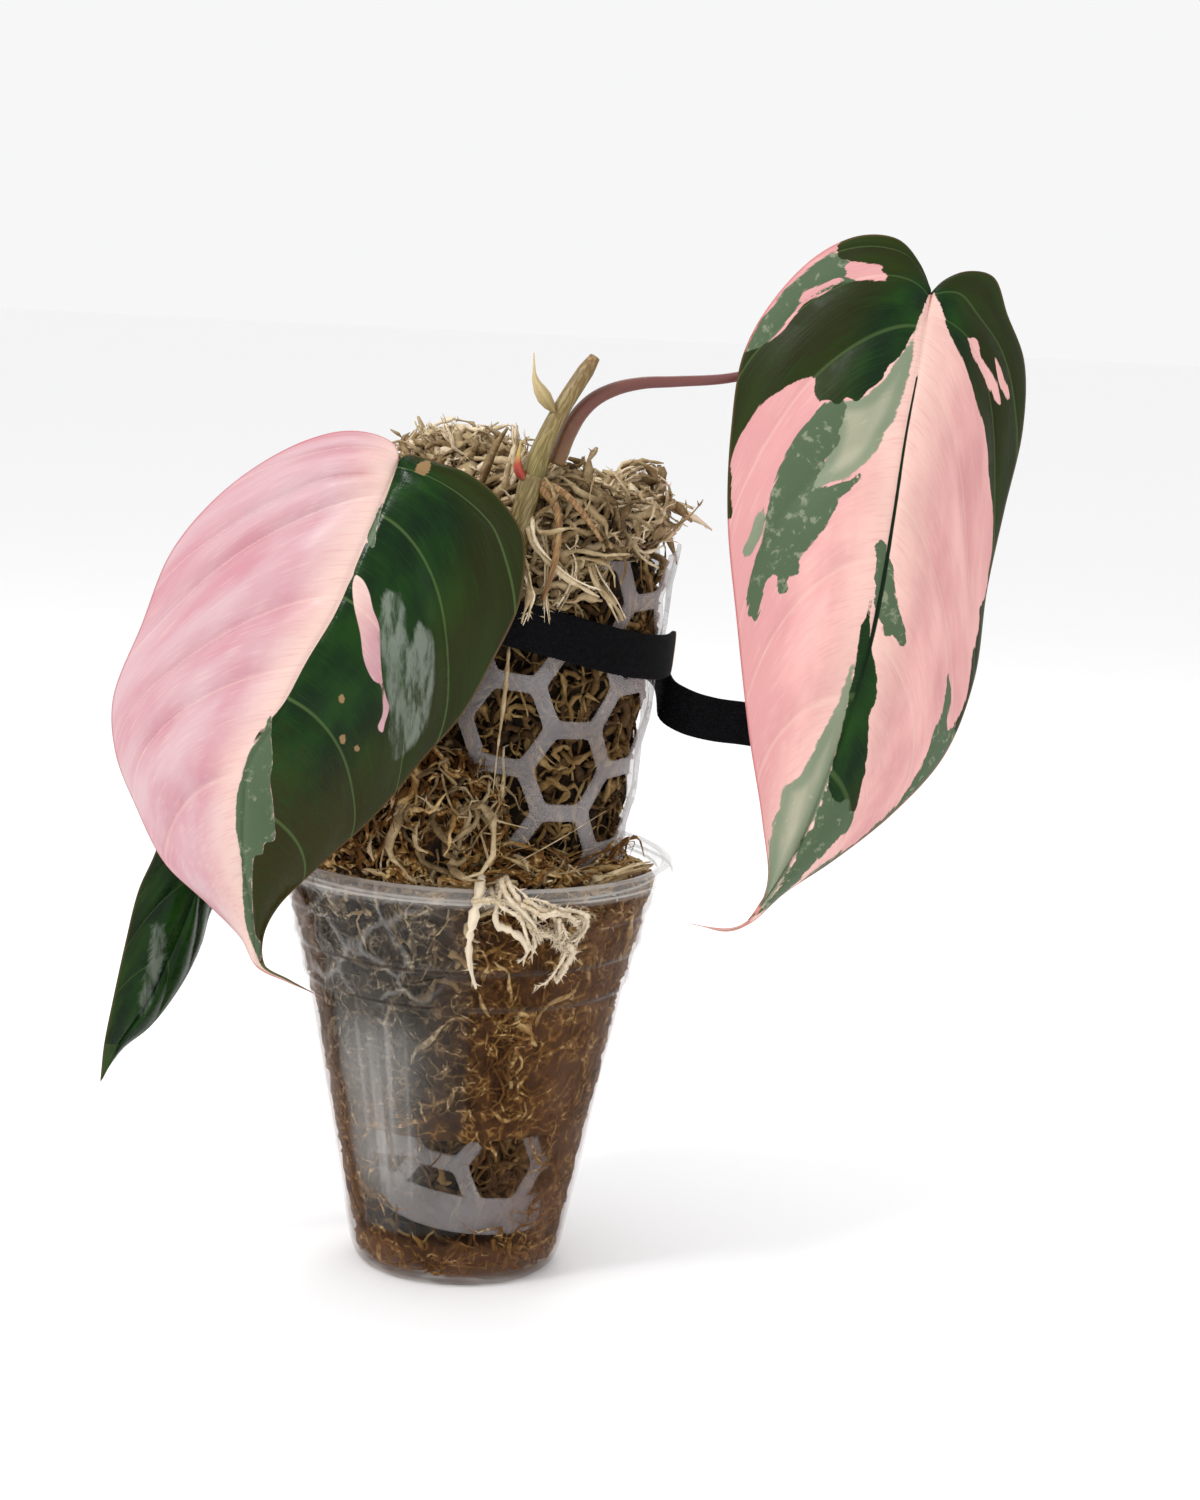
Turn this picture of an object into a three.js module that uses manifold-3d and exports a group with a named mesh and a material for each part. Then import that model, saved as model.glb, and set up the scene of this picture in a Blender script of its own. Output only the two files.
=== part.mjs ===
// A potted pink variegated micans philodendron: a climbing plant tied to a tube of holed plastic
// sheet packed with moss, standing in a clear drink cup. Millimetres, +Z up, the front faces -Y,
// and the origin is the middle of the cup's base.
import * as THREE from 'three';
import { mergeVertices } from 'three/addons/utils/BufferGeometryUtils.js';
import Module from 'manifold-3d';

const wasm = await Module();
wasm.setup();

// Cup: outer wall of a cone with three shallow stacking rings below a rolled lip
const cupHeight = 102.2;
const cupBaseRadius = 22.4;
const cupFootRadius = 25.0;
const cupTaper = 0.196;
const cupWall = 0.8;
const cupLipRadius = 49.0;
const cupRingHeights = [71.5, 80.6, 90.2];
const cupRingStep = 0.55;
const cupRingBand = 1.1;
const cupSegments = 32;

// Pole: a flat holed sheet rolled to a slim cone, leaning to the right and to the front
const poleFoot = new THREE.Vector3(0.6, 0.4, 14.8);
const poleTop = new THREE.Vector3(11.4, -12.2, 179.2);
const poleFootRadius = 24.8;
const poleTaper = 0.058;
const sheetThickness = 0.8;
const sheetRollStep = 2.2;
const sheetInset = 0.7;
const sheetMiddleTurn = 45;
const innerMargin = 5;
const outerMargin = 18;
const sheetFootBorder = 7.5;
const holePitch = 19.85;
const holeWidth = 15.4;
const holeSquash = 0.93;
const firstColumn = -4.7;
const lastColumn = 6.3;
const holeRows = 8;
const halfHoleFloor = 2;

// Strap of hook-and-loop tape round the pole and the stem
const strapWidth = 10.4;
const strapThickness = 1.5;
const strapHeight = 151.2;
const strapTilt = 9.3;
const strapTailDrop = 7;
const strapStartTurn = 82;
const strapEndTurn = -254;
const strapOverPole = 2.1;
const strapOverStem = 6.4;
const stemTurn = -12;
const stemBumpSpread = 16;
const strapTail = [
  [44.9, -9.6, 141.4], [48.8, -11.2, 139.2], [55.5, -9, 137.2], [63.7, -6, 136], [71, -5, 135],
  [82, -4, 134],
];

const bladeThickness = 0.8;
const touchGap = 0.35;
const mossEasing = 0.12;
const clodRoughness = 0.13;

// Small helpers
function randomFrom(seed) {
  let state = seed;
  return () => {
    state = (state + 0x6d2b79f5) | 0;
    let mixed = Math.imul(state ^ (state >>> 15), 1 | state);
    mixed = (mixed + Math.imul(mixed ^ (mixed >>> 7), 61 | mixed)) ^ mixed;
    return ((mixed ^ (mixed >>> 14)) >>> 0) / 4294967296;
  };
}

const vec = (list) => new THREE.Vector3(...list);
const degrees = THREE.MathUtils.degToRad;

function geometryFrom(vertices, triangles) {
  const geometry = new THREE.BufferGeometry();
  const numbers = vertices.flatMap((v) => [v.x, v.y, v.z]);
  geometry.setAttribute('position', new THREE.Float32BufferAttribute(numbers, 3));
  geometry.setIndex(triangles.flat());
  return geometry;
}

// Shared vertices merged and flat triangles dropped, as a solid ready for joins and cuts
function solidFrom(source) {
  const bare = source.clone();
  bare.deleteAttribute('normal');
  bare.deleteAttribute('uv');
  const merged = mergeVertices(bare, 1e-3);
  const index = merged.index.array;
  const kept = [];
  for (let i = 0; i < index.length; i += 3) {
    const [a, b, c] = [index[i], index[i + 1], index[i + 2]];
    if (a !== b && b !== c && c !== a) kept.push(a, b, c);
  }
  const vertProperties = new Float32Array(merged.attributes.position.array);
  return new wasm.Manifold(new wasm.Mesh({ numProp: 3, vertProperties, triVerts: new Uint32Array(kept) }));
}

function geometryOf(solid) {
  const mesh = solid.getMesh();
  const geometry = new THREE.BufferGeometry();
  geometry.setAttribute('position', new THREE.Float32BufferAttribute(mesh.vertProperties, 3));
  geometry.setIndex(Array.from(mesh.triVerts));
  return geometry;
}

// The largest body of a cut solid, so that no loose scrap stays beside it
function mainBody(solid) {
  const bodies = solid.decompose();
  return bodies.reduce((best, body) => (body.volume() > best.volume() ? body : best));
}

function joined(solids) {
  return solids.reduce((sum, solid) => sum.add(solid));
}

// A round body swept along a smooth path: rings of `sides` points, each with its own radius.
// `grow` makes it thicker and longer all round, as the room that it needs.
function sweptTube(points, radii, sides, steps, grow = 0) {
  const path = points.map((point) => point.clone());
  const last = path.length - 1;
  path[0].addScaledVector(points[0].clone().sub(points[1]).normalize(), grow);
  path[last].addScaledVector(points[last].clone().sub(points[last - 1]).normalize(), grow);
  const curve = new THREE.CatmullRomCurve3(path, false, 'centripetal');
  const frames = curve.computeFrenetFrames(steps, false);
  const vertices = [];
  const triangles = [];
  for (let i = 0; i <= steps; i += 1) {
    const centre = curve.getPointAt(i / steps);
    const place = (i / steps) * (radii.length - 1);
    const low = Math.min(Math.floor(place), radii.length - 2);
    const radius = grow + THREE.MathUtils.lerp(radii[low], radii[low + 1], place - low);
    for (let k = 0; k < sides; k += 1) {
      const angle = (2 * Math.PI * k) / sides;
      vertices.push(centre.clone()
        .addScaledVector(frames.normals[i], radius * Math.cos(angle))
        .addScaledVector(frames.binormals[i], radius * Math.sin(angle)));
    }
  }
  for (let i = 0; i < steps; i += 1) {
    for (let k = 0; k < sides; k += 1) {
      const a = i * sides + k;
      const b = i * sides + ((k + 1) % sides);
      triangles.push([a, b, b + sides], [a, b + sides, a + sides]);
    }
  }
  for (let k = 1; k < sides - 1; k += 1) {
    const end = steps * sides;
    triangles.push([0, k + 1, k], [end, end + k, end + k + 1]);
  }
  return geometryFrom(vertices, triangles);
}

// A flat pattern of quads with shared corners, bent by `place(u, v, depth)` and given its thickness.
// Every edge that only one quad uses gets a wall, so holes and borders close by themselves.
function bentSheet(quads, place, thickness) {
  const corners = new Map();
  const front = [];
  const back = [];
  const cornerOf = ([u, v]) => {
    const key = `${Math.round(u * 1e4)},${Math.round(v * 1e4)}`;
    if (!corners.has(key)) {
      corners.set(key, front.length);
      front.push(place(u, v, thickness / 2));
      back.push(place(u, v, -thickness / 2));
    }
    return corners.get(key);
  };
  const loops = quads.map((quad) => quad.map(cornerOf));
  const count = front.length;
  const triangles = [];
  const edges = new Map();
  for (const loop of loops) {
    for (let k = 1; k < loop.length - 1; k += 1) {
      triangles.push([loop[0], loop[k], loop[k + 1]]);
      triangles.push([count + loop[0], count + loop[k + 1], count + loop[k]]);
    }
    loop.forEach((a, k) => {
      const b = loop[(k + 1) % loop.length];
      edges.set(`${a}>${b}`, [a, b]);
    });
  }
  for (const [a, b] of edges.values()) {
    if (!edges.has(`${b}>${a}`)) triangles.push([b, a, count + a], [b, count + a, count + b]);
  }
  return geometryFrom([...front, ...back], triangles);
}

// The pole's own frame, from its foot to its top
const poleAxis = poleTop.clone().sub(poleFoot).normalize();
const poleFrame = new THREE.Matrix4().compose(
  poleFoot,
  new THREE.Quaternion().setFromUnitVectors(new THREE.Vector3(0, 0, 1), poleAxis),
  new THREE.Vector3(1, 1, 1),
);
const poleRadius = (height) => poleFootRadius + poleTaper * height;

// A point beside the pole: turn in degrees, 0 at the front and 90 at the right
function besidePole(turn, height, out) {
  const reach = poleRadius(height) + out;
  const angle = degrees(turn);
  return new THREE.Vector3(reach * Math.sin(angle), -reach * Math.cos(angle), height).applyMatrix4(poleFrame);
}

// Rolling the flat sheet: u runs round it and v up it. The flat sheet is part of the fan that a cone
// unrolls to, and each turn lies one roll step further out, so the two edges lap.
const rollSine = Math.sin(Math.atan(poleTaper));
const fanReach = poleFootRadius / rollSine;
function rolled(u, v, depth) {
  const reach = Math.hypot(u, v + fanReach);
  const fanAngle = Math.atan2(u, v + fanReach);
  const turn = degrees(sheetMiddleTurn) + fanAngle / rollSine;
  const lap = (sheetRollStep * fanAngle) / (2 * Math.PI * rollSine) - sheetInset;
  const radius = reach * rollSine + depth + lap;
  const height = (reach - fanReach) * Math.cos(Math.asin(rollSine));
  return new THREE.Vector3(radius * Math.sin(turn), -radius * Math.cos(turn), height).applyMatrix4(poleFrame);
}

// Hexagonal holes in staggered columns. Even columns hold whole holes, odd ones start and end halfway,
// and the outer columns stop one hole lower.
const cellCorner = holePitch / Math.sqrt(3);
const holeCorner = holeWidth / Math.sqrt(3);
const columnStep = 1.5 * cellCorner * holeSquash;
const halfCell = cellCorner * holeSquash;
const holesEdge = { inner: firstColumn * columnStep - halfCell, outer: lastColumn * columnStep + halfCell };
const rowsIn = (column) => (column > 5 ? holeRows - 1 : holeRows);

function hexCorner(uc, vc, reach, k) {
  const angle = (k * Math.PI) / 3;
  return [uc + holeSquash * reach * Math.cos(angle), vc + reach * Math.sin(angle)];
}

// One of the six struts of a hole
function strutQuad(uc, vc, k) {
  return [
    hexCorner(uc, vc, holeCorner, k),
    hexCorner(uc, vc, cellCorner, k),
    hexCorner(uc, vc, cellCorner, k + 1),
    hexCorner(uc, vc, holeCorner, k + 1),
  ];
}

// The upper half of a hole that stands on the border, with a raised floor
function halfHoleQuads(uc) {
  const floor = sheetFootBorder + halfHoleFloor;
  const halfFloor = holeSquash * (holeCorner - halfHoleFloor / Math.sqrt(3));
  const cellCorners = [0, 1, 2, 3].map((k) => hexCorner(uc, sheetFootBorder, cellCorner, k));
  const [right, upperRight, upperLeft, left] = cellCorners;
  const [innerRight, innerLeft] = [1, 2].map((k) => hexCorner(uc, sheetFootBorder, holeCorner, k));
  const [rightFoot, leftFoot] = [[uc + halfFloor, floor], [uc - halfFloor, floor]];
  const [middle, floorMiddle] = [[uc, sheetFootBorder], [uc, floor]];
  return [
    [rightFoot, right, upperRight, innerRight],
    [innerRight, upperRight, upperLeft, innerLeft],
    [innerLeft, upperLeft, left, leftFoot],
    [left, middle, floorMiddle, leftFoot],
    [middle, right, rightFoot, floorMiddle],
  ];
}

// A solid margin beside the first or the last column: a zigzag strip, then plain strips
function marginQuads(column, side, width, strips) {
  const quads = [];
  const uc = column * columnStep;
  const edge = uc + side * halfCell;
  const lines = [...Array(strips).keys()].map((n) => edge + (side * width * (n + 1)) / strips);
  const turned = (quad) => (side > 0 ? quad : [...quad].reverse());
  const steps = 2 * rowsIn(column);
  const whole = Math.round(column - firstColumn) % 2 === 0;
  for (let n = 0; n < steps; n += 1) {
    const low = sheetFootBorder + (n * holePitch) / 2;
    const high = low + holePitch / 2;
    const lowOut = (n % 2 === 0) !== whole;
    const near = (out) => (out ? edge : edge - (side * halfCell) / 2);
    const border = [[near(lowOut), low], [lines[0], low], [lines[0], high], [near(!lowOut), high]];
    quads.push(turned(border));
    for (let k = 0; k < strips - 1; k += 1) {
      quads.push(turned([[lines[k], low], [lines[k + 1], low], [lines[k + 1], high], [lines[k], high]]));
    }
  }
  return { quads, lines };
}

function holedSheetQuads() {
  const quads = [];
  const footLine = [];
  for (let column = firstColumn; column <= lastColumn; column += 1) {
    const uc = column * columnStep;
    const whole = Math.round(column - firstColumn) % 2 === 0;
    const firstRow = whole ? 0.5 : 1;
    for (let row = firstRow; row < rowsIn(column); row += 1) {
      for (let k = 0; k < 6; k += 1) quads.push(strutQuad(uc, sheetFootBorder + row * holePitch, k));
    }
    if (whole) {
      footLine.push(uc - halfCell / 2, uc + halfCell / 2);
    } else {
      const topLine = sheetFootBorder + rowsIn(column) * holePitch;
      for (let k = 3; k < 6; k += 1) quads.push(strutQuad(uc, topLine, k));
      quads.push(...halfHoleQuads(uc));
      footLine.push(uc);
    }
  }
  const inner = marginQuads(firstColumn, -1, innerMargin, 1);
  const outer = marginQuads(lastColumn, 1, outerMargin, 3);
  quads.push(...inner.quads, ...outer.quads);
  const foot = [...inner.lines.reverse(), ...footLine, ...outer.lines];
  for (let k = 0; k < foot.length - 1; k += 1) {
    quads.push([[foot[k], 0], [foot[k + 1], 0], [foot[k + 1], sheetFootBorder], [foot[k], sheetFootBorder]]);
  }
  return quads;
}

// The room that the top of the rolled sheet takes, without holes and a little thicker
function sheetRoom() {
  const from = holesEdge.inner - innerMargin - 0.4;
  const to = holesEdge.outer + outerMargin + 0.4;
  const low = sheetFootBorder + (holeRows - 2) * holePitch;
  const high = sheetFootBorder + holeRows * holePitch + 0.4;
  const across = 48;
  const up = 2;
  const grid = (start, end, n, count) => start + ((end - start) * n) / count;
  const quads = [];
  for (let i = 0; i < across; i += 1) {
    for (let j = 0; j < up; j += 1) {
      const [a, b] = [grid(from, to, i, across), grid(from, to, i + 1, across)];
      const [c, d] = [grid(low, high, j, up), grid(low, high, j + 1, up)];
      quads.push([[a, c], [b, c], [b, d], [a, d]]);
    }
  }
  return solidFrom(bentSheet(quads, (u, v, depth) => rolled(u, v, depth - 0.25), 1.95));
}

// A turned cone on the pole's axis
function poleCone(fromHeight, toHeight, out) {
  const profile = [
    new THREE.Vector2(0, fromHeight),
    new THREE.Vector2(poleRadius(fromHeight) + out, fromHeight),
    new THREE.Vector2(poleRadius(toHeight) + out, toHeight),
    new THREE.Vector2(0, toHeight),
  ];
  const cone = new THREE.LatheGeometry(profile, 28);
  cone.rotateX(Math.PI / 2);
  return solidFrom(cone.applyMatrix4(poleFrame));
}

// Cup outer radius at a height, rings included
function cupRadius(height) {
  const steps = cupRingHeights.filter((ring) => height > ring).length;
  return cupFootRadius + cupTaper * height + steps * cupRingStep;
}

function cupProfile() {
  const outer = [[0, 0], [cupBaseRadius, 0], [24.7, 1.4], [cupRadius(4.5), 4.5]];
  for (const ring of cupRingHeights) {
    outer.push([cupRadius(ring), ring], [cupRadius(ring + 0.01) + 0.25, ring + cupRingBand]);
  }
  outer.push([cupRadius(96.2), 96.2]);
  const inner = outer.slice(2).reverse().map(([radius, height]) => [radius - cupWall, height]);
  inner[inner.length - 1] = [24, 2];
  const floor = [[cupBaseRadius, cupWall], [0, cupWall]];
  return [...outer, ...lipProfile(0), ...inner, ...floor].map((p) => new THREE.Vector2(...p));
}

// The rolled lip's section, grown outwards by `grow`
function lipProfile(grow) {
  const middle = [47, 99.6];
  const section = [
    [46.9, 97.4], [48.5, 98.5], [cupLipRadius, 100.2], [48.2, 101.8], [46.9, cupHeight], [45.7, 101],
  ];
  return section.map(([radius, height]) => {
    const way = new THREE.Vector2(radius - middle[0], height - middle[1]);
    way.setLength(way.length() + grow);
    return [middle[0] + way.x, middle[1] + way.y];
  });
}

function cupGeometry() {
  return new THREE.LatheGeometry(cupProfile(), cupSegments).rotateX(Math.PI / 2);
}

// The room that the lip takes
function lipRoom() {
  const ring = lipProfile(touchGap + 0.1).map((p) => new THREE.Vector2(...p));
  return solidFrom(new THREE.LatheGeometry([...ring, ring[0]], cupSegments).rotateX(Math.PI / 2));
}

// The cup's hollow, drawn in by the touching gap
function cupRoom(fromHeight, toHeight) {
  const heights = [fromHeight, ...cupRingHeights, toHeight].filter((h) => h >= fromHeight && h <= toHeight);
  const wallAt = (h) => Math.min(h < 4 ? cupBaseRadius : cupRadius(h) - cupWall - touchGap, 45.2);
  const walls = heights.map((h) => new THREE.Vector2(wallAt(h), h));
  const profile = [new THREE.Vector2(0, fromHeight), ...walls, new THREE.Vector2(0, toHeight)];
  return solidFrom(new THREE.LatheGeometry(profile, cupSegments).rotateX(Math.PI / 2));
}

// A lumpy clod: a ball with its surface pushed in and out by crossed waves
function clod(centre, size, seed) {
  const ball = new THREE.IcosahedronGeometry(1, 2);
  const position = ball.attributes.position;
  for (let i = 0; i < position.count; i += 1) {
    const p = new THREE.Vector3().fromBufferAttribute(position, i).normalize();
    const coarse = Math.sin(5.1 * p.x + seed) * Math.sin(4.3 * p.y + 2 * seed);
    const fine = Math.sin(7.7 * p.z - 3 * p.x + seed);
    p.multiplyScalar(1 + clodRoughness * (coarse + 0.6 * fine));
    position.setXYZ(i, p.x * size[0] + centre[0], p.y * size[1] + centre[1], p.z * size[2] + centre[2]);
  }
  return solidFrom(ball);
}

// One shred of moss: a few-sided tapering strand whose thick root is sunk in the clod
function shred(points, radius) {
  return solidFrom(sweptTube(points.map(vec), [radius, radius * 1.1, radius * 0.8, radius * 0.25], 3, 3));
}

// Shreds that lean out of a clod in seeded directions, with drooping ends
function shreds(seed, count, centre, size, aim, length, radius) {
  const random = randomFrom(seed);
  const result = [];
  for (let i = 0; i < count; i += 1) {
    const turn = 2 * Math.PI * random();
    const rise = -0.1 + 1.1 * random();
    const way = new THREE.Vector3(
      Math.cos(turn) * Math.cos(rise) + aim[0],
      Math.sin(turn) * Math.cos(rise) + aim[1],
      Math.sin(rise) + aim[2],
    ).normalize();
    const root = way.clone().multiply(vec(size)).multiplyScalar(0.7).add(vec(centre));
    const reach = length * (0.7 + 0.6 * random());
    const bend = vec([random() - 0.5, random() - 0.5, random() - 0.7]).multiplyScalar(reach * 0.6);
    const middle = root.clone().addScaledVector(way, reach * 0.55);
    const end = root.clone().addScaledVector(way, reach).add(bend);
    result.push(shred([root.toArray(), middle.toArray(), end.toArray()], radius * (0.8 + 0.4 * random())));
  }
  return result;
}

// Stem: up the front of the pole, under the strap, to the node; then the cut stub above it
const nodePlace = [9.9, -50.6, 195.6];
const stemPath = [
  besidePole(-70, 84, 3.8), besidePole(-60, 100, 3.9), besidePole(-45, 116, 4), besidePole(-28, 132, 4),
  besidePole(-14, 148, 3.9), besidePole(-7.5, 161, 3.8), vec([8.1, -51, 187]), vec(nodePlace),
];
const stubPath = [
  [9.6, -50.6, 193.4], [11, -50.4, 199.4], [12.9, -50, 204.6], [15.9, -48.8, 210.8], [22.4, -45.8, 221.6],
].map(vec);

const rootPaths = [
  [[11, -51, 194], [15.4, -52.4, 188.6], [15.8, -53, 179], [13.4, -53.4, 169]],
  [[11, -51, 194.4], [17, -52.6, 192], [22.4, -51.8, 186.4], [25.6, -50.4, 182]],
].map((path) => path.map(vec));

// The stem, its stub and the aerial roots that leave the node, as one body
function stemSolid(grow) {
  return joined([
    solidFrom(sweptTube(stemPath, [2.5, 2.6, 2.6, 2.6, 2.6, 2.5, 2.3, 2.7], 8, 14, grow)),
    solidFrom(sweptTube(stubPath, [2.5, 2.9, 2.7, 2.5, 2.35], 8, 8, grow)),
    ...rootPaths.map((path) => solidFrom(sweptTube(path, [1.3, 1.1, 0.95, 0.6], 6, 7, grow))),
  ]);
}

// Petioles: the right one starts as a broad sheath beside the stub
const petioleRightPath = [
  [15, -47.4, 198], [17.4, -46.4, 205], [19.6, -45.4, 209], [22.9, -44.2, 212.4], [27.7, -42.5, 214.9],
  [33.5, -40.5, 216.3], [40.7, -39, 216.9], [53.1, -38.5, 218.3], [68.1, -38.5, 222.9], [83, -40, 230.2],
  [94.3, -44.7, 238.1],
].map(vec);
const petioleLeftPath = [
  [3.5, -52.2, 174.1], [-2, -53.2, 181], [-9, -54.2, 190.5], [-18.1, -57.1, 197.5],
].map(vec);
const petioleBackPath = [
  [-25.8, -24.5, 117.1], [-28.4, -24.6, 121.4], [-34.6, -26.4, 131.5], [-45, -22, 141], [-51.4, -17.8, 142.6],
  [-55.2, -15.8, 140.7],
].map(vec);

const petioleRightRadii = [1.9, 2.1, 1.9, 1.65, 1.5, 1.4, 1.35, 1.25, 1.2, 1.2];
const petioles = {
  petiole_right: (grow) => sweptTube(petioleRightPath, petioleRightRadii, 7, 22, grow),
  petiole_left: (grow) => sweptTube(petioleLeftPath, [1.7, 1.5, 1.4, 1.3], 7, 8, grow),
  petiole_back: (grow) => sweptTube(petioleBackPath, [1.6, 1.5, 1.35, 1.2, 1.15], 7, 12, grow),
};
const budPath = [[6.6, -52.8, 195.6], [6.6, -53.4, 199], [7, -53.2, 203]].map(vec);
const bud = (grow) => sweptTube(budPath, [0.9, 1.6, 0.4], 7, 6, grow);
const bractPath = [
  [12.6, -51.6, 210.4], [11.4, -51.4, 213.2], [9.6, -51, 216.4], [9.1, -50.8, 220.4],
].map(vec);
const bract = (grow) => sweptTube(bractPath, [0.5, 1.5, 1.1, 0.35], 6, 8, grow);

// Leaves: each edge and the midrib run from the notch at the leaf stalk to the end of the drip tip.
// tailFrom is the point where the drip tip begins.
const leaves = {
  leaf_right: {
    left: [
      [95, -46, 239], [92, -47, 245], [87, -47, 250], [79, -46, 250.5], [70, -45, 246], [61, -44, 236],
      [55, -44, 224], [53, -46, 207], [53, -50, 188], [56, -53, 166], [60, -55, 141], [64, -55, 122],
      [66, -54, 107], [62, -52, 98], [58, -49, 96], [50, -46, 96],
    ],
    right: [
      [95, -46, 239], [98, -46, 242], [103, -45, 244], [109, -43, 243], [113, -41, 235], [118, -38, 225],
      [119, -37, 210], [116, -38, 192], [113, -40, 174], [111, -43, 154], [105, -46, 137], [94, -49, 124],
      [81, -51, 113], [70, -52, 105], [63, -52, 98], [58, -49, 95.2], [50, -46, 96],
    ],
    rib: [
      [95, -46, 239], [93, -52, 227], [90, -57, 209], [88, -60, 191], [86, -61, 173], [83, -61, 155],
      [78, -59, 136], [72, -57, 117], [65, -54, 103], [62, -52, 98], [57, -49, 95.6], [50, -46, 96],
    ],
    tailFrom: { left: 13, right: 14, rib: 9 },
    swell: [3.4, 4.2],
    folds: 7,
    foldHeight: 0.5,
  },
  leaf_left: {
    left: [
      [-19, -58, 198], [-20, -57, 201], [-24, -55, 203], [-31, -53, 203.4], [-40, -50, 200.6],
      [-51, -47, 194], [-61, -45, 185], [-69, -44, 174], [-75, -42, 158], [-81, -42, 141],
      [-80, -43, 129], [-75, -46, 118], [-68, -49, 106], [-58, -53, 98], [-50, -56, 91], [-46.4, -57, 85],
      [-40, -52, 80.4], [-32, -44, 75],
    ],
    right: [
      [-19, -58, 198], [-17, -59, 199.4], [-12, -60, 198.4], [-4, -61, 196], [3, -62, 191], [8, -61, 184],
      [9, -60, 178], [8, -60, 168], [3, -60, 156], [-3, -60, 144], [-11, -60, 134], [-21, -60, 121],
      [-33, -60, 109], [-42, -59, 99], [-45, -58, 92], [-44.6, -57, 85.6], [-39.6, -52, 81.2],
      [-32, -44, 75],
    ],
    rib: [
      [-19, -58, 198], [-22, -61, 189], [-26, -65, 179], [-31, -69, 166], [-37, -71, 155], [-43, -72, 142],
      [-48, -72, 133], [-49, -70, 123], [-49, -67, 110], [-47, -63, 98], [-45.6, -57.6, 85.6],
      [-40, -52.4, 80.8], [-32, -44, 75],
    ],
    tailFrom: { left: 15, right: 15, rib: 10 },
    swell: [4.6, 3.6],
    folds: 6,
    foldHeight: 0.7,
  },
  leaf_back: {
    left: [
      [-56, -16, 138], [-58, -18, 142], [-61, -20, 144], [-65, -22, 140], [-68, -23, 130], [-70, -23, 117],
      [-73, -22, 103], [-77, -21, 93], [-80, -19, 80], [-83, -17, 65], [-85, -15, 54], [-86, -13, 44],
    ],
    right: [
      [-56, -16, 138], [-53, -14, 140], [-50, -10, 137], [-47, -5, 127], [-48, -1, 114], [-51, 1, 103],
      [-57, 1, 92], [-62, 0, 84], [-64, -2, 76], [-68, -5, 67], [-75, -8, 57], [-81, -10, 52],
      [-84, -12, 48], [-86, -13, 44],
    ],
    rib: [
      [-56, -16, 138], [-58, -14, 123], [-61, -12, 106], [-65, -11, 91], [-70, -11, 77], [-76, -12, 63],
      [-82, -12, 53], [-86, -13, 44],
    ],
    tailFrom: { left: 10, right: 12, rib: 6 },
    swell: [2.6, 2.6],
    folds: 6,
    foldHeight: 0.4,
  },
};
const tailShare = 0.86;
const lobeShare = 0.2;
const lobeFan = 0.05;
const bladeRowRanges = [[0, 0.17, 8], [0.17, tailShare, 13], [tailShare, 1, 4]];
const rowPlaces = bladeRowRanges.flatMap(([from, to, rows]) => (
  [...Array(rows).keys()].map((n) => from + ((to - from) * n) / rows)
)).concat(1);
const bladeRows = rowPlaces.length - 1;
const bladeHalf = 4;

// A smooth line through the points, read by t: 0 to tailShare is the blade, the rest is the drip tip
function edgeLine(points, tailFrom) {
  const curve = new THREE.CatmullRomCurve3(points.map(vec), false, 'centripetal');
  const samples = curve.getPoints(400);
  const lengths = [0];
  for (let i = 1; i <= 400; i += 1) lengths.push(lengths[i - 1] + samples[i].distanceTo(samples[i - 1]));
  const split = lengths[Math.round((400 * tailFrom) / (points.length - 1))];
  const whole = lengths[400];
  return (t) => {
    const onTail = Math.max(t - tailShare, 0) / (1 - tailShare);
    const wanted = (split * Math.min(t, tailShare)) / tailShare + (whole - split) * onTail;
    let i = 1;
    while (i < 400 && lengths[i] < wanted) i += 1;
    const share = (wanted - lengths[i - 1]) / (lengths[i] - lengths[i - 1] || 1);
    return samples[i - 1].clone().lerp(samples[i], Math.min(Math.max(share, 0), 1));
  };
}

// How far down the midrib the side vein starts that ends at edge place t
function ribShare(t) {
  if (t >= tailShare) return t;
  if (t < lobeShare) return (lobeFan * t) / lobeShare;
  return lobeFan + (tailShare - lobeFan) * ((t - lobeShare) / (tailShare - lobeShare)) ** 1.08;
}

// The blade's middle surface: t along the edge, r from -1 at the left edge to 1 at the right edge
function bladeSurface(leaf) {
  const lines = {
    left: edgeLine(leaf.left, leaf.tailFrom.left),
    right: edgeLine(leaf.right, leaf.tailFrom.right),
    rib: edgeLine(leaf.rib, leaf.tailFrom.rib),
  };
  return (t, r) => {
    const edge = r < 0 ? lines.left(t) : lines.right(t);
    const reach = Math.abs(r);
    const point = lines.rib(ribShare(t)).lerp(edge, reach);
    const fade = Math.sin(Math.PI * Math.min(t / tailShare, 1)) ** 0.7;
    const arch = leaf.swell[r < 0 ? 0 : 1] * Math.sin(Math.PI * reach ** 0.75);
    const fold = leaf.foldHeight * Math.sin(2 * Math.PI * leaf.folds * t) * Math.sin(Math.PI * reach);
    point.y -= fade * (arch + fold);
    return point;
  };
}

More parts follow.
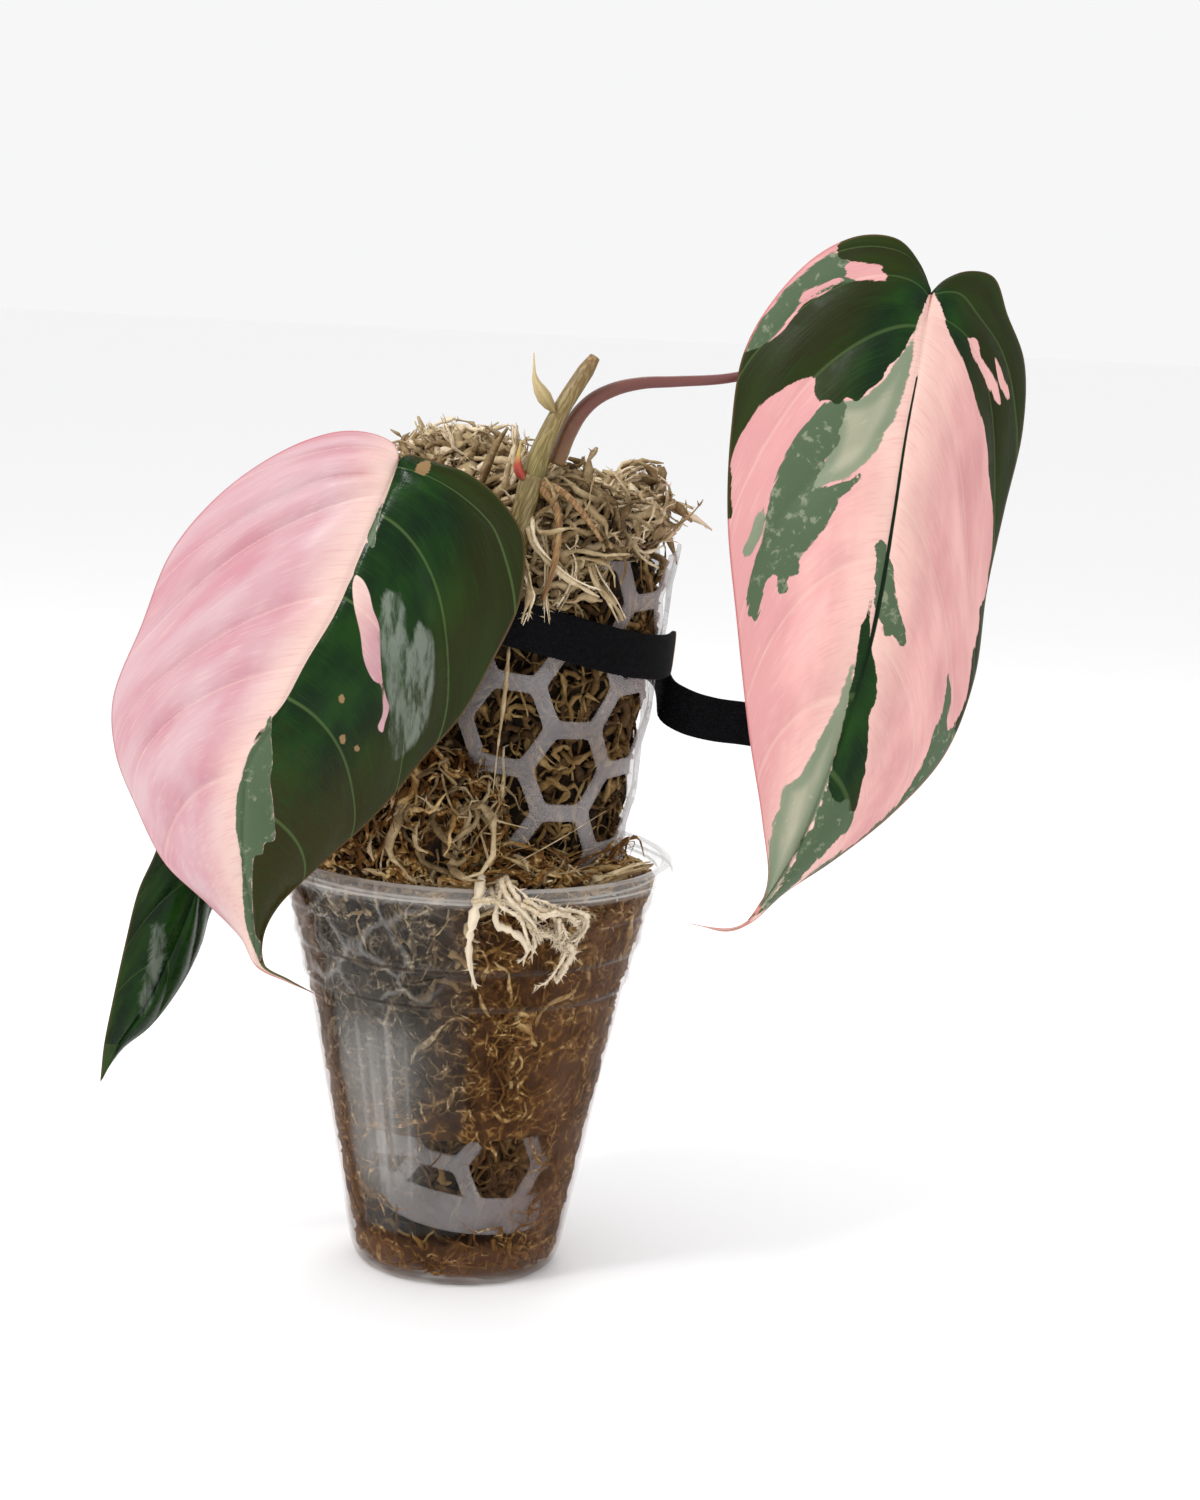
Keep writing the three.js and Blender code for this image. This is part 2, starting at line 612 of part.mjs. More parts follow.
// A blade of even thickness: rows of points across both halves, the first and last row in one point
function bladeGeometry(leaf) {
  const surface = bladeSurface(leaf);
  const across = 2 * bladeHalf;
  const at = (i, j) => surface(rowPlaces[i], (j - bladeHalf) / bladeHalf);
  const vertices = [[], []];
  const normalAt = (i, j) => {
    const [row, place] = [rowPlaces[Math.min(Math.max(i, 1), bladeRows - 1)], (j - bladeHalf) / bladeHalf];
    const step = 0.012;
    const along = surface(row + step, place).sub(surface(row - step, place));
    const sideways = surface(row, Math.min(place + 0.1, 1)).sub(surface(row, Math.max(place - 0.1, -1)));
    const normal = sideways.cross(along).normalize();
    return normal.y > 0 ? normal.negate() : normal;
  };
  for (const side of [0, 1]) {
    const lift = (side === 0 ? 0.5 : -0.5) * bladeThickness;
    const add = (i, j) => vertices[side].push(at(i, j).addScaledVector(normalAt(i, j), lift));
    add(0, bladeHalf);
    for (let i = 1; i < bladeRows; i += 1) {
      for (let j = 0; j <= across; j += 1) add(i, j);
    }
    add(bladeRows, bladeHalf);
  }
  const count = vertices[0].length;
  const number = (i, j) => {
    if (i === 0) return 0;
    return i === bladeRows ? count - 1 : 1 + (i - 1) * (across + 1) + j;
  };
  const triangles = [];
  const both = (a, b, c) => triangles.push([a, c, b], [count + a, count + b, count + c]);
  for (let i = 0; i < bladeRows; i += 1) {
    for (let j = 0; j < across; j += 1) {
      const [a, b, c, d] = [number(i, j), number(i, j + 1), number(i + 1, j + 1), number(i + 1, j)];
      if (a !== b) both(a, b, c);
      if (c !== d) both(a, c, d);
    }
    for (const j of [0, across]) {
      const [a, d] = [number(i, j), number(i + 1, j)];
      if (j === 0) triangles.push([a, count + d, d], [a, count + a, count + d]);
      else triangles.push([a, d, count + d], [a, count + d, count + a]);
    }
  }
  return geometryFrom([...vertices[0], ...vertices[1]], triangles);
}

// The strap's middle line: out of its fold at the right, round the front, over the stem, round the
// back and away to the right as a free tail
function strapPath() {
  const path = [];
  for (let turn = strapStartTurn; turn >= strapEndTurn; turn -= 12) {
    const overStem = strapOverStem * Math.exp(-(((turn - stemTurn) / stemBumpSpread) ** 2));
    const toTail = THREE.MathUtils.smoothstep(-turn, 120, -strapEndTurn);
    const height = strapHeight - strapTilt * Math.sin(degrees(turn)) - strapTailDrop * toTail;
    path.push(besidePole(turn, height, strapOverPole + overStem));
  }
  return [...path, ...strapTail.map(vec)];
}

// A flat band carried along a path with its width kept near upright
function bandGeometry(path, upright, width, thickness, steps) {
  const curve = new THREE.CatmullRomCurve3(path, false, 'centripetal');
  const vertices = [];
  const triangles = [];
  for (let i = 0; i <= steps; i += 1) {
    const centre = curve.getPointAt(i / steps);
    const tangent = curve.getTangentAt(i / steps);
    const out = tangent.clone().cross(upright).normalize();
    const up = tangent.clone().cross(out).normalize();
    for (const [a, b] of [[-1, -1], [1, -1], [1, 1], [-1, 1]]) {
      const corner = centre.clone().addScaledVector(out, (a * thickness) / 2);
      vertices.push(corner.addScaledVector(up, (b * width) / 2));
    }
  }
  for (let i = 0; i < steps; i += 1) {
    for (let k = 0; k < 4; k += 1) {
      const a = i * 4 + k;
      const b = i * 4 + ((k + 1) % 4);
      triangles.push([a, b, b + 4], [a, b + 4, a + 4]);
    }
  }
  const last = steps * 4;
  triangles.push([0, 2, 1], [0, 3, 2], [last, last + 1, last + 2], [last, last + 2, last + 3]);
  return geometryFrom(vertices, triangles);
}

// Moss inside and on top of the pole, with its foot resting in the cup
function poleMossSolid() {
  const foot = cupRoom(cupWall + touchGap, 12);
  const core = poleCone(-3.5, 165, -3.4);
  const heap = [
    clod([9, -13, 184], [30, 28, 10], 1.1),
    clod([-5, -17, 191], [15, 13, 10], 2.3),
    clod([30, -20, 183], [11, 12, 8], 3.7),
    clod([13, -39, 182], [14, 10, 12], 5.2),
  ];
  const tufts = [
    ...shreds(11, 14, [-4, -18, 190], [17, 15, 9], [-0.15, -0.1, 0.35], 9, 1.3),
    ...shreds(12, 8, [26, -20, 184], [15, 14, 8], [0.3, -0.25, 0.3], 8, 1.3),
    ...shreds(13, 8, [12, -42, 178], [15, 9, 12], [0.1, -0.6, -0.2], 8, 1.2),
    shred([[-11, -20, 190], [-14, -20, 198], [-15, -19, 203.5]], 1.7),
    shred([[-8, -18, 192], [-10, -18, 199], [-10, -18, 203.4]], 1.6),
    shred([[0, -18, 194], [3, -24, 200], [6.4, -29, 204.4]], 1.7),
    shred([[25, -20, 186], [30, -21, 193], [36, -20, 196.4]], 1.6),
    shred([[37, -19, 181], [38.6, -19, 189], [38.6, -18.4, 197.6]], 1.6),
  ];
  const above = joined([...heap, ...tufts]).subtract(sheetRoom());
  return joined([foot, core, above]);
}

// The open air above the lip, a little wider than the cup
function aboveLip() {
  const section = [[0, 103.9], [44, 103.9], [60, 108], [60, 150], [0, 150]];
  const profile = section.map((p) => new THREE.Vector2(...p));
  return solidFrom(new THREE.LatheGeometry(profile, 24).rotateX(Math.PI / 2));
}

// Moss packed round the pole, heaped at the front left and hanging over the lip in one tuft
function cupMossSolid() {
  const packed = cupRoom(36, 96.5);
  const heap = [
    clod([-19, -30, 103], [16, 13, 15], 0.7),
    clod([-8, -36, 113], [14, 9, 16], 1.9),
    clod([5, -37, 100], [18, 8, 9], 3.3),
    clod([28, -29, 98], [14, 10, 8], 4.4),
    clod([-27, 4, 97], [15, 22, 6], 5.5),
    clod([12, 28, 96], [28, 13, 5], 6.1),
  ];
  const tufts = [
    ...shreds(21, 14, [-15, -33, 110], [15, 10, 17], [-0.3, -0.7, 0.2], 9, 1.3),
    ...shreds(22, 8, [0, -37, 110], [13, 7, 14], [0.1, -0.8, 0.1], 8, 1.2),
    ...shreds(23, 10, [28, -28, 99], [14, 9, 8], [0.2, -0.4, 0.5], 9, 1.2),
    ...shreds(24, 12, [0, 12, 95], [34, 24, 6], [0, 0.2, 0.6], 8, 1.3),
    shred([[2, -37, 98], [10, -41.5, 106], [19, -39, 112], [29.4, -36, 118.6]], 0.9),
    shred([[0, -40, 122], [4, -46, 134], [8, -49.2, 146]], 0.8),
  ];
  const within = cupRoom(92, 104).add(aboveLip());
  const overLip = [
    [[8, -34, 98], [8, -41, 104.6], [8.6, -47, 105.2], [8.6, -52, 101], [4, -52, 90], [0.6, -50.6, 79]],
    [[9, -34, 98], [10, -41, 104.6], [11.4, -47, 105.4], [13, -51.8, 99], [14, -51.4, 90], [17.6, -50, 79.6]],
    [[10, -34, 98], [12, -41, 104.6], [14, -46.4, 105.2], [17.4, -51, 99], [22, -49.6, 92], [24.6, -49, 89]],
    [[7, -34, 98], [6, -41, 104.6], [5.4, -48, 105], [4.2, -52.8, 99], [1.4, -51.8, 95.4], [-0.6, -50.8, 95]],
  ].map((path) => solidFrom(sweptTube(path.map(vec), [2, 2.1, 2.2, 2.2, 1.7, 0.8], 5, 9)));
  const tuft = joined(overLip).subtract(lipRoom());
  return joined([packed, joined([...heap, ...tufts]).intersect(within), tuft]);
}

// Assembly
const part = new THREE.Group();
part.name = 'potted_pink_variegated_micans';

const looks = {
  clear: { color: 0xe8eef0, roughness: 0.12, metalness: 0, transparent: true, opacity: 0.3 },
  sheet: { color: 0xc9c4cf, roughness: 0.4, metalness: 0, transparent: true, opacity: 0.6 },
  drySphagnum: { color: 0xc2a878, roughness: 0.95, metalness: 0 },
  wetSphagnum: { color: 0x6b4a2c, roughness: 0.9, metalness: 0 },
  tape: { color: 0x08080b, roughness: 0.85, metalness: 0 },
  stem: { color: 0x8f8a4e, roughness: 0.5, metalness: 0 },
  petiole: { color: 0x8c4f48, roughness: 0.5, metalness: 0 },
  bud: { color: 0xb4483c, roughness: 0.5, metalness: 0 },
  bract: { color: 0xd9c79b, roughness: 0.8, metalness: 0 },
  blade: { color: 0xe7a9a4, roughness: 0.5, metalness: 0 },
  greenBlade: { color: 0x24452a, roughness: 0.4, metalness: 0 },
};

function addNode(name, geometry, look) {
  const mesh = new THREE.Mesh(geometry, new THREE.MeshStandardMaterial(looks[look]));
  mesh.name = name;
  part.add(mesh);
}

addNode('cup', cupGeometry(), 'clear');
addNode('pole_sheet', bentSheet(holedSheetQuads(), rolled, sheetThickness), 'sheet');
addNode('strap', bandGeometry(strapPath(), poleAxis, strapWidth, strapThickness, 52), 'tape');
addNode('stem', geometryOf(stemSolid(0)), 'stem');
addNode('bud', bud(0), 'bud');
addNode('bract', bract(0), 'bract');
for (const [name, make] of Object.entries(petioles)) addNode(name, make(0), 'petiole');
for (const [name, leaf] of Object.entries(leaves)) {
  addNode(name, bladeGeometry(leaf), name === 'leaf_back' ? 'greenBlade' : 'blade');
}

// The moss is cut clear of every stem that stands in it
const stemRooms = [
  stemSolid(touchGap),
  ...Object.values(petioles).map((make) => solidFrom(make(touchGap))),
  solidFrom(bud(touchGap)),
];
const clearOfStems = (moss) => mainBody(stemRooms.reduce((rest, room) => rest.subtract(room), moss));
const eased = (moss) => mainBody(clearOfStems(moss).simplify(mossEasing));
addNode('pole_moss', geometryOf(eased(poleMossSolid())), 'drySphagnum');
addNode('cup_moss', geometryOf(eased(cupMossSolid().subtract(poleCone(0, 150, 2.2)))), 'wetSphagnum');

export default part;
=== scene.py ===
import math
import bmesh
import bpy
import numpy as np
from mathutils import Matrix


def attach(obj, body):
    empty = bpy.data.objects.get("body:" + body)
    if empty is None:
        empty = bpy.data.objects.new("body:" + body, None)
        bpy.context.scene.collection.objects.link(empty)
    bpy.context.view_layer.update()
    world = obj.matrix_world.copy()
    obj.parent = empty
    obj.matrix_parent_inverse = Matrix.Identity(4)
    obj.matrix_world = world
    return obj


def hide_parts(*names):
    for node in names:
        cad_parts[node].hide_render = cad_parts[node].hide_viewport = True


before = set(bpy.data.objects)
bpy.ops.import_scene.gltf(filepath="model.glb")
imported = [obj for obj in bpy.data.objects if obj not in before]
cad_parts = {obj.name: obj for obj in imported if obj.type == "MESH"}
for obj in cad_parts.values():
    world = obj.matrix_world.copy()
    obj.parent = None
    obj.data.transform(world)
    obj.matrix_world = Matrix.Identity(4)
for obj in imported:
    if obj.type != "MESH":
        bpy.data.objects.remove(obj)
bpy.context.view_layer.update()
mm = 0.001  # shapes are worked out in millimetres and stored in metres

# Paths and surfaces


def curveThrough(points, count):
    # A smooth line through the points: between two of them a cubic whose slopes come from the
    # neighbours, each span weighted by the square root of its length
    knots = np.asarray(points, float)
    ends = np.vstack([2 * knots[0] - knots[1], knots, 2 * knots[-1] - knots[-2]])
    place = np.linspace(0, len(knots) - 1, count)
    span = np.minimum(place.astype(int), len(knots) - 2)
    w = (place - span)[:, None]
    p0, p1, p2, p3 = (ends[span + k] for k in range(4))
    pairs = ((p0, p1), (p1, p2), (p2, p3))
    d0, d1, d2 = (np.maximum(np.sum((b - a) ** 2, 1, keepdims=True), 1e-12) ** 0.25 for a, b in pairs)
    m1 = ((p1 - p0) / d0 - (p2 - p0) / (d0 + d1) + (p2 - p1) / d1) * d1
    m2 = ((p2 - p1) / d1 - (p3 - p1) / (d1 + d2) + (p3 - p2) / d2) * d1
    return p1 + m1 * w + (-3 * p1 + 3 * p2 - 2 * m1 - m2) * w ** 2 + (2 * p1 - 2 * p2 + m1 + m2) * w ** 3


def lengthAlong(line):
    # How far along the line each point lies: the steps between neighbours added up
    return np.concatenate([[0], np.cumsum(np.linalg.norm(np.diff(line, axis=0), axis=1))])


def evenly(line, count):
    # The same line at equal steps of its length
    reach = lengthAlong(line)
    wanted = np.linspace(0, reach[-1], count)
    return np.stack([np.interp(wanted, reach, line[:, k]) for k in range(line.shape[1])], -1)


def unit(vectors):
    # Each vector divided by its length
    return vectors / np.maximum(np.linalg.norm(vectors, axis=-1, keepdims=True), 1e-9)


def smoothStep(value, low, high):
    # From 0 at low to 1 at high as three squares less two cubes of the share between them
    x = np.clip((value - low) / (high - low), 0, 1)
    return x * x * (3 - 2 * x)


def crossFrames(paths, reference):
    # Two directions square to each path: its own direction crossed with a fixed one, then with that
    ahead = unit(np.gradient(paths, axis=-2))
    side = unit(np.cross(ahead, reference))
    return side, np.cross(ahead, side)


def gridFaces(rows, columns, wrap=False):
    # Four-cornered faces between neighbours of a grid, numbered row by row
    width = columns if wrap else columns - 1
    i = np.arange(rows - 1)[:, None] * columns
    j = np.arange(width)
    after = (j + 1) % columns
    return np.stack([i + j, i + after, i + columns + after, i + columns + j], -1).reshape(-1, 4)


def carried(path, side, up, x, y, endShares):
    # A closed section laid along a path: for each point a row of offsets, x to its side and y upwards;
    # two shrinking rows close each end
    path, side, up, x, y = (np.concatenate([a[:1], a[:1], a, a[-1:], a[-1:]]) for a in (path, side, up, x, y))
    shrink = np.concatenate([endShares, np.ones(len(path) - 4), endShares[::-1]])[:, None, None]
    return path[:, None] + shrink * (x[..., None] * side[:, None] + y[..., None] * up[:, None])


def join(parts):
    # Several surfaces of points, faces and attributes put into one
    points = []
    faceSets = []
    values = {}
    start = 0
    for partPoints, partFaces, partValues in parts:
        points.append(partPoints)
        sets = partFaces if isinstance(partFaces, list) else [partFaces]
        faceSets += [faces + start for faces in sets]
        for key, value in partValues.items():
            values.setdefault(key, []).append(np.broadcast_to(value, len(partPoints)))
        start += len(partPoints)
    return np.concatenate(points), faceSets, {key: np.concatenate(v) for key, v in values.items()}


def makePiece(name, surface, material, nodes, closeWithin=1e-6, smooth=True):
    # Points, faces and values become a mesh; points that meet are merged and faces turned outwards
    points, faceSets, values = join([surface])
    mesh = bpy.data.meshes.new(name)
    corners = np.concatenate([faces.ravel() for faces in faceSets]).astype(np.int32)
    sizes = np.concatenate([np.full(len(faces), faces.shape[1]) for faces in faceSets])
    mesh.vertices.add(len(points))
    mesh.vertices.foreach_set("co", (np.asarray(points) * mm).astype(np.float32).ravel())
    mesh.loops.add(len(corners))
    mesh.loops.foreach_set("vertex_index", corners)
    mesh.polygons.add(len(sizes))
    starts = np.concatenate([[0], np.cumsum(sizes)[:-1]]).astype(np.int32)
    mesh.polygons.foreach_set("loop_start", starts)
    mesh.update(calc_edges=True)
    mesh.validate()
    for key, value in values.items():
        layer = mesh.attributes.new(key, 'FLOAT', 'POINT')
        layer.data.foreach_set("value", np.asarray(value, np.float32).ravel())
    work = bmesh.new()
    work.from_mesh(mesh)
    if closeWithin:
        bmesh.ops.remove_doubles(work, verts=work.verts, dist=closeWithin)
    bmesh.ops.recalc_face_normals(work, faces=work.faces)
    work.to_mesh(mesh)
    work.free()
    mesh.polygons.foreach_set("use_smooth", np.full(len(mesh.polygons), smooth))
    mesh.materials.append(material)
    piece = bpy.data.objects.new(name, mesh)
    bpy.context.scene.collection.objects.link(piece)
    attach(piece, "root")
    if nodes:
        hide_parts(*nodes)
    triangles = sum(len(faces) * (faces.shape[1] - 2) for faces in faceSets)
    print("piece", name, triangles, "triangles")


# Colours and finishes


def colour(red, green, blue):
    # Screen colour from 0 to 255 as linear light
    values = np.array([red, green, blue]) / 255
    light = np.where(values <= 0.04045, values / 12.92, ((values + 0.055) / 1.055) ** 2.4)
    return (*light.tolist(), 1.0)


class Finish:
    # A material with short calls for the nodes that the finishes of this plant are made of

    def __init__(self, name, **settings):
        self.material = bpy.data.materials.new(name)
        self.material.use_nodes = True
        self.tree = self.material.node_tree
        self.shader = self.tree.nodes["Principled BSDF"]
        for socket, value in settings.items():
            self.shader.inputs[socket.replace("_", " ")].default_value = value

    def node(self, kind, inputs, **settings):
        node = self.tree.nodes.new(kind)
        for key, value in settings.items():
            setattr(node, key, value)
        for socket, value in inputs.items():
            self.give(node.inputs[socket], value)
        return node

    def give(self, socket, value):
        if isinstance(value, bpy.types.NodeSocket):
            self.tree.links.new(value, socket)
        else:
            socket.default_value = value

    def set(self, socket, value):
        self.give(self.shader.inputs[socket], value)

    def read(self, name):
        return self.node("ShaderNodeAttribute", {}, attribute_name=name).outputs["Fac"]

    def place(self):
        return self.node("ShaderNodeTexCoord", {}).outputs["Object"]

    def math(self, operation, a, b=0.0, c=0.0):
        return self.node("ShaderNodeMath", {0: a, 1: b, 2: c}, operation=operation).outputs[0]

    def times(self, a, b):
        return self.math('MULTIPLY', a, b)

    def scaled(self, value, amount, base):
        # value times amount, plus base
        return self.math('MULTIPLY_ADD', value, amount, base)

    def swung(self, value, amount, base, middle=0.5):
        # base plus amount times how far the value is from its middle
        return self.scaled(self.math('SUBTRACT', value, middle), amount, base)

    def apart(self, value, level):
        return self.math('ABSOLUTE', self.math('SUBTRACT', value, level))

    def step(self, value, low, high, to=(0.0, 1.0)):
        # From the first of `to` at low to its second at high, with a smooth start and end
        node = self.node("ShaderNodeMapRange", {0: value, 1: low, 2: high, 3: to[0], 4: to[1]},
                         interpolation_type='SMOOTHSTEP')
        return node.outputs[0]

    def window(self, value, rise, fall):
        # 1 between a rising and a falling step
        return self.times(self.step(value, *rise), self.step(value, *fall))

    def mix(self, factor, a, b):
        return self.node("ShaderNodeMix", {0: factor, 6: a, 7: b}, data_type='RGBA').outputs[2]

    def axes(self, where):
        return self.node("ShaderNodeSeparateXYZ", {"Vector": where}).outputs

    def vector(self, x, y, z=0.0):
        return self.node("ShaderNodeCombineXYZ", {0: x, 1: y, 2: z}).outputs[0]

    def noise(self, where, scale, detail=3.0, roughness=0.5):
        inputs = {"Vector": where, "Scale": scale, "Detail": detail, "Roughness": roughness}
        return self.node("ShaderNodeTexNoise", inputs).outputs[0]

    def warped(self, where, scale, amount):
        # The place pushed about by a coarse noise, amount in metres
        noise = self.node("ShaderNodeTexNoise", {"Vector": where, "Scale": scale, "Detail": 2.0})
        inputs = {0: noise.outputs["Color"], 1: (amount,) * 3, 2: where}
        return self.node("ShaderNodeVectorMath", inputs, operation='MULTIPLY_ADD').outputs[0]

    def cells(self, where, scale):
        # Distance to the nearest border between two cells
        inputs = {"Vector": where, "Scale": scale}
        return self.node("ShaderNodeTexVoronoi", inputs, feature='DISTANCE_TO_EDGE').outputs["Distance"]

    def ramp(self, value, stops):
        node = self.node("ShaderNodeValToRGB", {0: value})
        elements = node.color_ramp.elements
        while len(elements) < len(stops):
            elements.new(0.5)
        for element, (position, tint) in zip(elements, stops):
            element.position = position
            element.color = tint
        return node.outputs[0]

    def bump(self, height, strength, distance):
        # distance is in millimetres
        inputs = {"Height": height, "Strength": strength, "Distance": distance * mm}
        self.set("Normal", self.node("ShaderNodeBump", inputs).outputs[0])


# Camera, floor and light

cameraView = {
    "place": (0.0, -0.660, 0.2374),
    "yaw": 0.0451,
    "pitch": 0.1653,
    "roll": 0.0492,
    "lens": 67.0,
    "sensor": 36,
}


def standAt(thing, right, up, back, place):
    # The three directions are the columns of the object's rotation
    turned = np.eye(4)
    turned[:3, :3] = np.stack([right, up, back], 1)
    turned[:3, 3] = place
    thing.matrix_world = Matrix(turned.tolist())
    bpy.context.scene.collection.objects.link(thing)


def makeCamera(view):
    # The look direction comes from yaw and pitch, and the two picture directions are turned by roll
    yaw, pitch, roll = view["yaw"], view["pitch"], view["roll"]
    ahead = np.array([math.sin(yaw) * math.cos(pitch), math.cos(yaw) * math.cos(pitch), -math.sin(pitch)])
    level = np.array([math.cos(yaw), -math.sin(yaw), 0])
    rise = np.cross(level, ahead)
    right = math.cos(roll) * level + math.sin(roll) * rise
    up = -math.sin(roll) * level + math.cos(roll) * rise
    data = bpy.data.cameras.new("camera")
    data.lens = view["lens"]
    data.sensor_width = view["sensor"]
    camera = bpy.data.objects.new("camera", data)
    standAt(camera, right, up, -ahead, view["place"])
    bpy.context.scene.camera = camera


lightPlan = {
    "floorReach": 12.0,
    "floorTint": colour(253, 253, 253),
    "floorSpeck": 30.0,
    "speckShade": 0.985,
    "skyTint": colour(254, 254, 255),
    "skyStrength": 0.94,
    "lamps": [
        # place, aimed at, size, watts
        ((-0.70, -0.55, 1.05), (0.0, -0.03, 0.15), 0.30, 8.0),
        ((0.75, -0.50, 0.45), (0.02, -0.02, 0.12), 0.50, 0.4),
        ((0.15, 0.60, 0.80), (0.0, 0.0, 0.12), 0.45, 1.6),
    ],
}


def makeFloor(plan):
    # A wide pale square under the plant
    reach = plan["floorReach"]
    corners = [(-reach, -reach, 0), (reach, -reach, 0), (reach, reach, 0), (-reach, reach, 0)]
    mesh = bpy.data.meshes.new("floor")
    mesh.from_pydata(corners, [], [(0, 1, 2, 3)])
    finish = Finish("pale_floor", Roughness=0.8)
    speck = finish.noise(finish.place(), plan["floorSpeck"])
    tint = plan["floorTint"]
    darker = tuple(c * plan["speckShade"] for c in tint[:3]) + (1.0,)
    finish.set("Base Color", finish.mix(speck, tint, darker))
    mesh.materials.append(finish.material)
    floor = bpy.data.objects.new("floor", mesh)
    bpy.context.scene.collection.objects.link(floor)


def makeLight(plan):
    # An even bright sky and round lamps, each turned with its back away from its target
    world = bpy.data.worlds.new("studio")
    world.use_nodes = True
    sky = world.node_tree.nodes["Background"]
    sky.inputs[0].default_value = plan["skyTint"]
    sky.inputs[1].default_value = plan["skyStrength"]
    bpy.context.scene.world = world
    for n, (place, target, size, watts) in enumerate(plan["lamps"]):
        data = bpy.data.lights.new(f"lamp_{n}", 'AREA')
        data.shape = 'DISK'
        data.size = size
        data.energy = watts
        back = unit(np.array(place) - np.array(target))
        side = unit(np.cross([0, 0, 1], back))
        standAt(bpy.data.objects.new(f"lamp_{n}", data), side, np.cross(back, side), back, place)


makeCamera(cameraView)
makeFloor(lightPlan)
makeLight(lightPlan)
bpy.context.scene.view_settings.view_transform = 'Standard'
print("stage ready")

# Pole: a leaning cone that the sheet is rolled to and the moss is packed in

pole = {
    "foot": np.array([0.6, 0.4, 14.8]),
    "top": np.array([11.4, -12.2, 179.2]),
    "footRadius": 24.8,
    "taper": 0.058,
}


def poleTurned():
    # The shortest rotation from the upright to the pole's axis: the unit matrix, plus the matrix of
    # their cross product, plus its square over one more than their cosine
    axis = unit(pole["top"] - pole["foot"])
    v = np.cross([0, 0, 1], axis)
    skew = np.array([[0, -v[2], v[1]], [v[2], 0, -v[0]], [-v[1], v[0], 0]])
    return np.eye(3) + skew + skew @ skew / (1 + axis[2])


poleRotation = poleTurned()


def poleRadius(height):
    # The cone widens evenly upwards
    return pole["footRadius"] + pole["taper"] * height


def besidePole(turn, height, out):
    # A place by its turn round the cone in degrees, 0 at the front and 90 at the right, its height up
    # the axis and its distance outwards from the cone
    angle = np.radians(turn)
    reach = poleRadius(height) + out
    local = np.stack(np.broadcast_arrays(reach * np.sin(angle), -reach * np.cos(angle), height), -1)
    return local @ poleRotation.T + pole["foot"]


# Sheet with hexagonal holes

sheet = {
    "thickness": 0.8,
    "rollStep": 2.2,
    "inset": 0.7,
    "middleTurn": 45,
    "innerMargin": 5,
    "outerMargin": 18,
    "footBorder": 7.5,
    "pitch": 19.85,
    "holeWidth": 15.8,
    "squash": 0.93,
    "firstColumn": -4.7,
    "columns": 12,
    "rows": 8,
    "lowerFrom": 5,
    "floorRaise": 2,
    "sideSteps": 6,
    "cornerSharpness": 24,
    "rimShares": np.array([0.0, 0.14, 0.45, 0.75, 1.0]),
    "edgeThinness": 0.45,
    "edgeWidth": 0.4,
    "tints": [(0.3, colour(166, 158, 154)), (0.55, colour(180, 173, 172)), (0.75, colour(198, 192, 193))],
    "cloudScale": 45.0,
    "cover": {"faceOn": 0.19, "edgeOn": 0.32, "cloud": 0.25},
}


def rolled(u, v, depth):
    # The flat sheet is part of the fan that a cone unrolls to; each turn lies one roll step further out
    rollSine = math.sin(math.atan(pole["taper"]))
    fan = pole["footRadius"] / rollSine
    reach = np.hypot(u, v + fan)
    angle = np.arctan2(u, v + fan)
    turn = math.radians(sheet["middleTurn"]) + angle / rollSine
    lap = sheet["rollStep"] * angle / (2 * np.pi * rollSine) - sheet["inset"]
    radius = reach * rollSine + depth + lap
    height = (reach - fan) * math.cos(math.asin(rollSine))
    local = np.stack([radius * np.sin(turn), -radius * np.cos(turn), height], -1)
    return local @ poleRotation.T + pole["foot"]


def hexagonSides(first, last):
    # Points along the sides of a cell from corner `first` to corner `last`, equal steps on each side
    steps = sheet["sideSteps"]
    corner = np.arange(first, last + 1) * np.pi / 3
    knots = np.stack([np.cos(corner), np.sin(corner)], -1)
    share = np.arange((last - first) * steps + 1) / steps
    low = np.minimum(share.astype(int), last - first - 1)
    return knots[low] + (knots[low + 1] - knots[low]) * (share - low)[:, None]


def roundedHole(directions):
    # A hexagon with soft corners: its reach is the half width over the many-th norm of the cosines
    # against its three pairs of sides
    angle = np.arctan2(directions[:, 1], directions[:, 0])
    power = sheet["cornerSharpness"]
    sides = np.abs(np.cos(angle[:, None] - np.pi / 6 - np.arange(3) * np.pi / 3)) ** power
    reach = sheet["holeWidth"] / 2 / np.sum(sides, 1) ** (1 / power)
    return np.stack([reach * np.cos(angle), reach * np.sin(angle)], -1)


def thinAt(edge):
    # The share of the thickness, less at an open edge
    return np.where(edge, sheet["edgeThinness"], 1.0)


def cellSurface(centre, first, last, floor=None):
    # Rings of points from the hole's edge to the cell's edge
    cell = sheet["pitch"] / math.sqrt(3)
    outer = hexagonSides(first, last)
    inner = roundedHole(outer)
    outer = outer * cell
    if floor is not None:
        # a half hole: its two lower outlines run straight back along the border
        share = np.linspace(0, 1, 2 * sheet["sideSteps"] + 1)[1:, None]
        inner[:, 1] = np.maximum(inner[:, 1], floor)
        outer = np.vstack([outer, outer[-1] + (outer[0] - outer[-1]) * share])
        left, right = inner[-1].copy(), inner[0].copy()
        inner = np.vstack([inner, left + (right - left) * share])
    squash = np.array([sheet["squash"], 1])
    share = sheet["rimShares"][:, None, None]
    flat = (inner + (outer - inner) * share) * squash + np.asarray(centre)
    depth = np.repeat(thinAt(sheet["rimShares"] == 0), len(outer))
    return flat.reshape(-1, 2), gridFaces(len(sheet["rimShares"]), len(outer)), depth


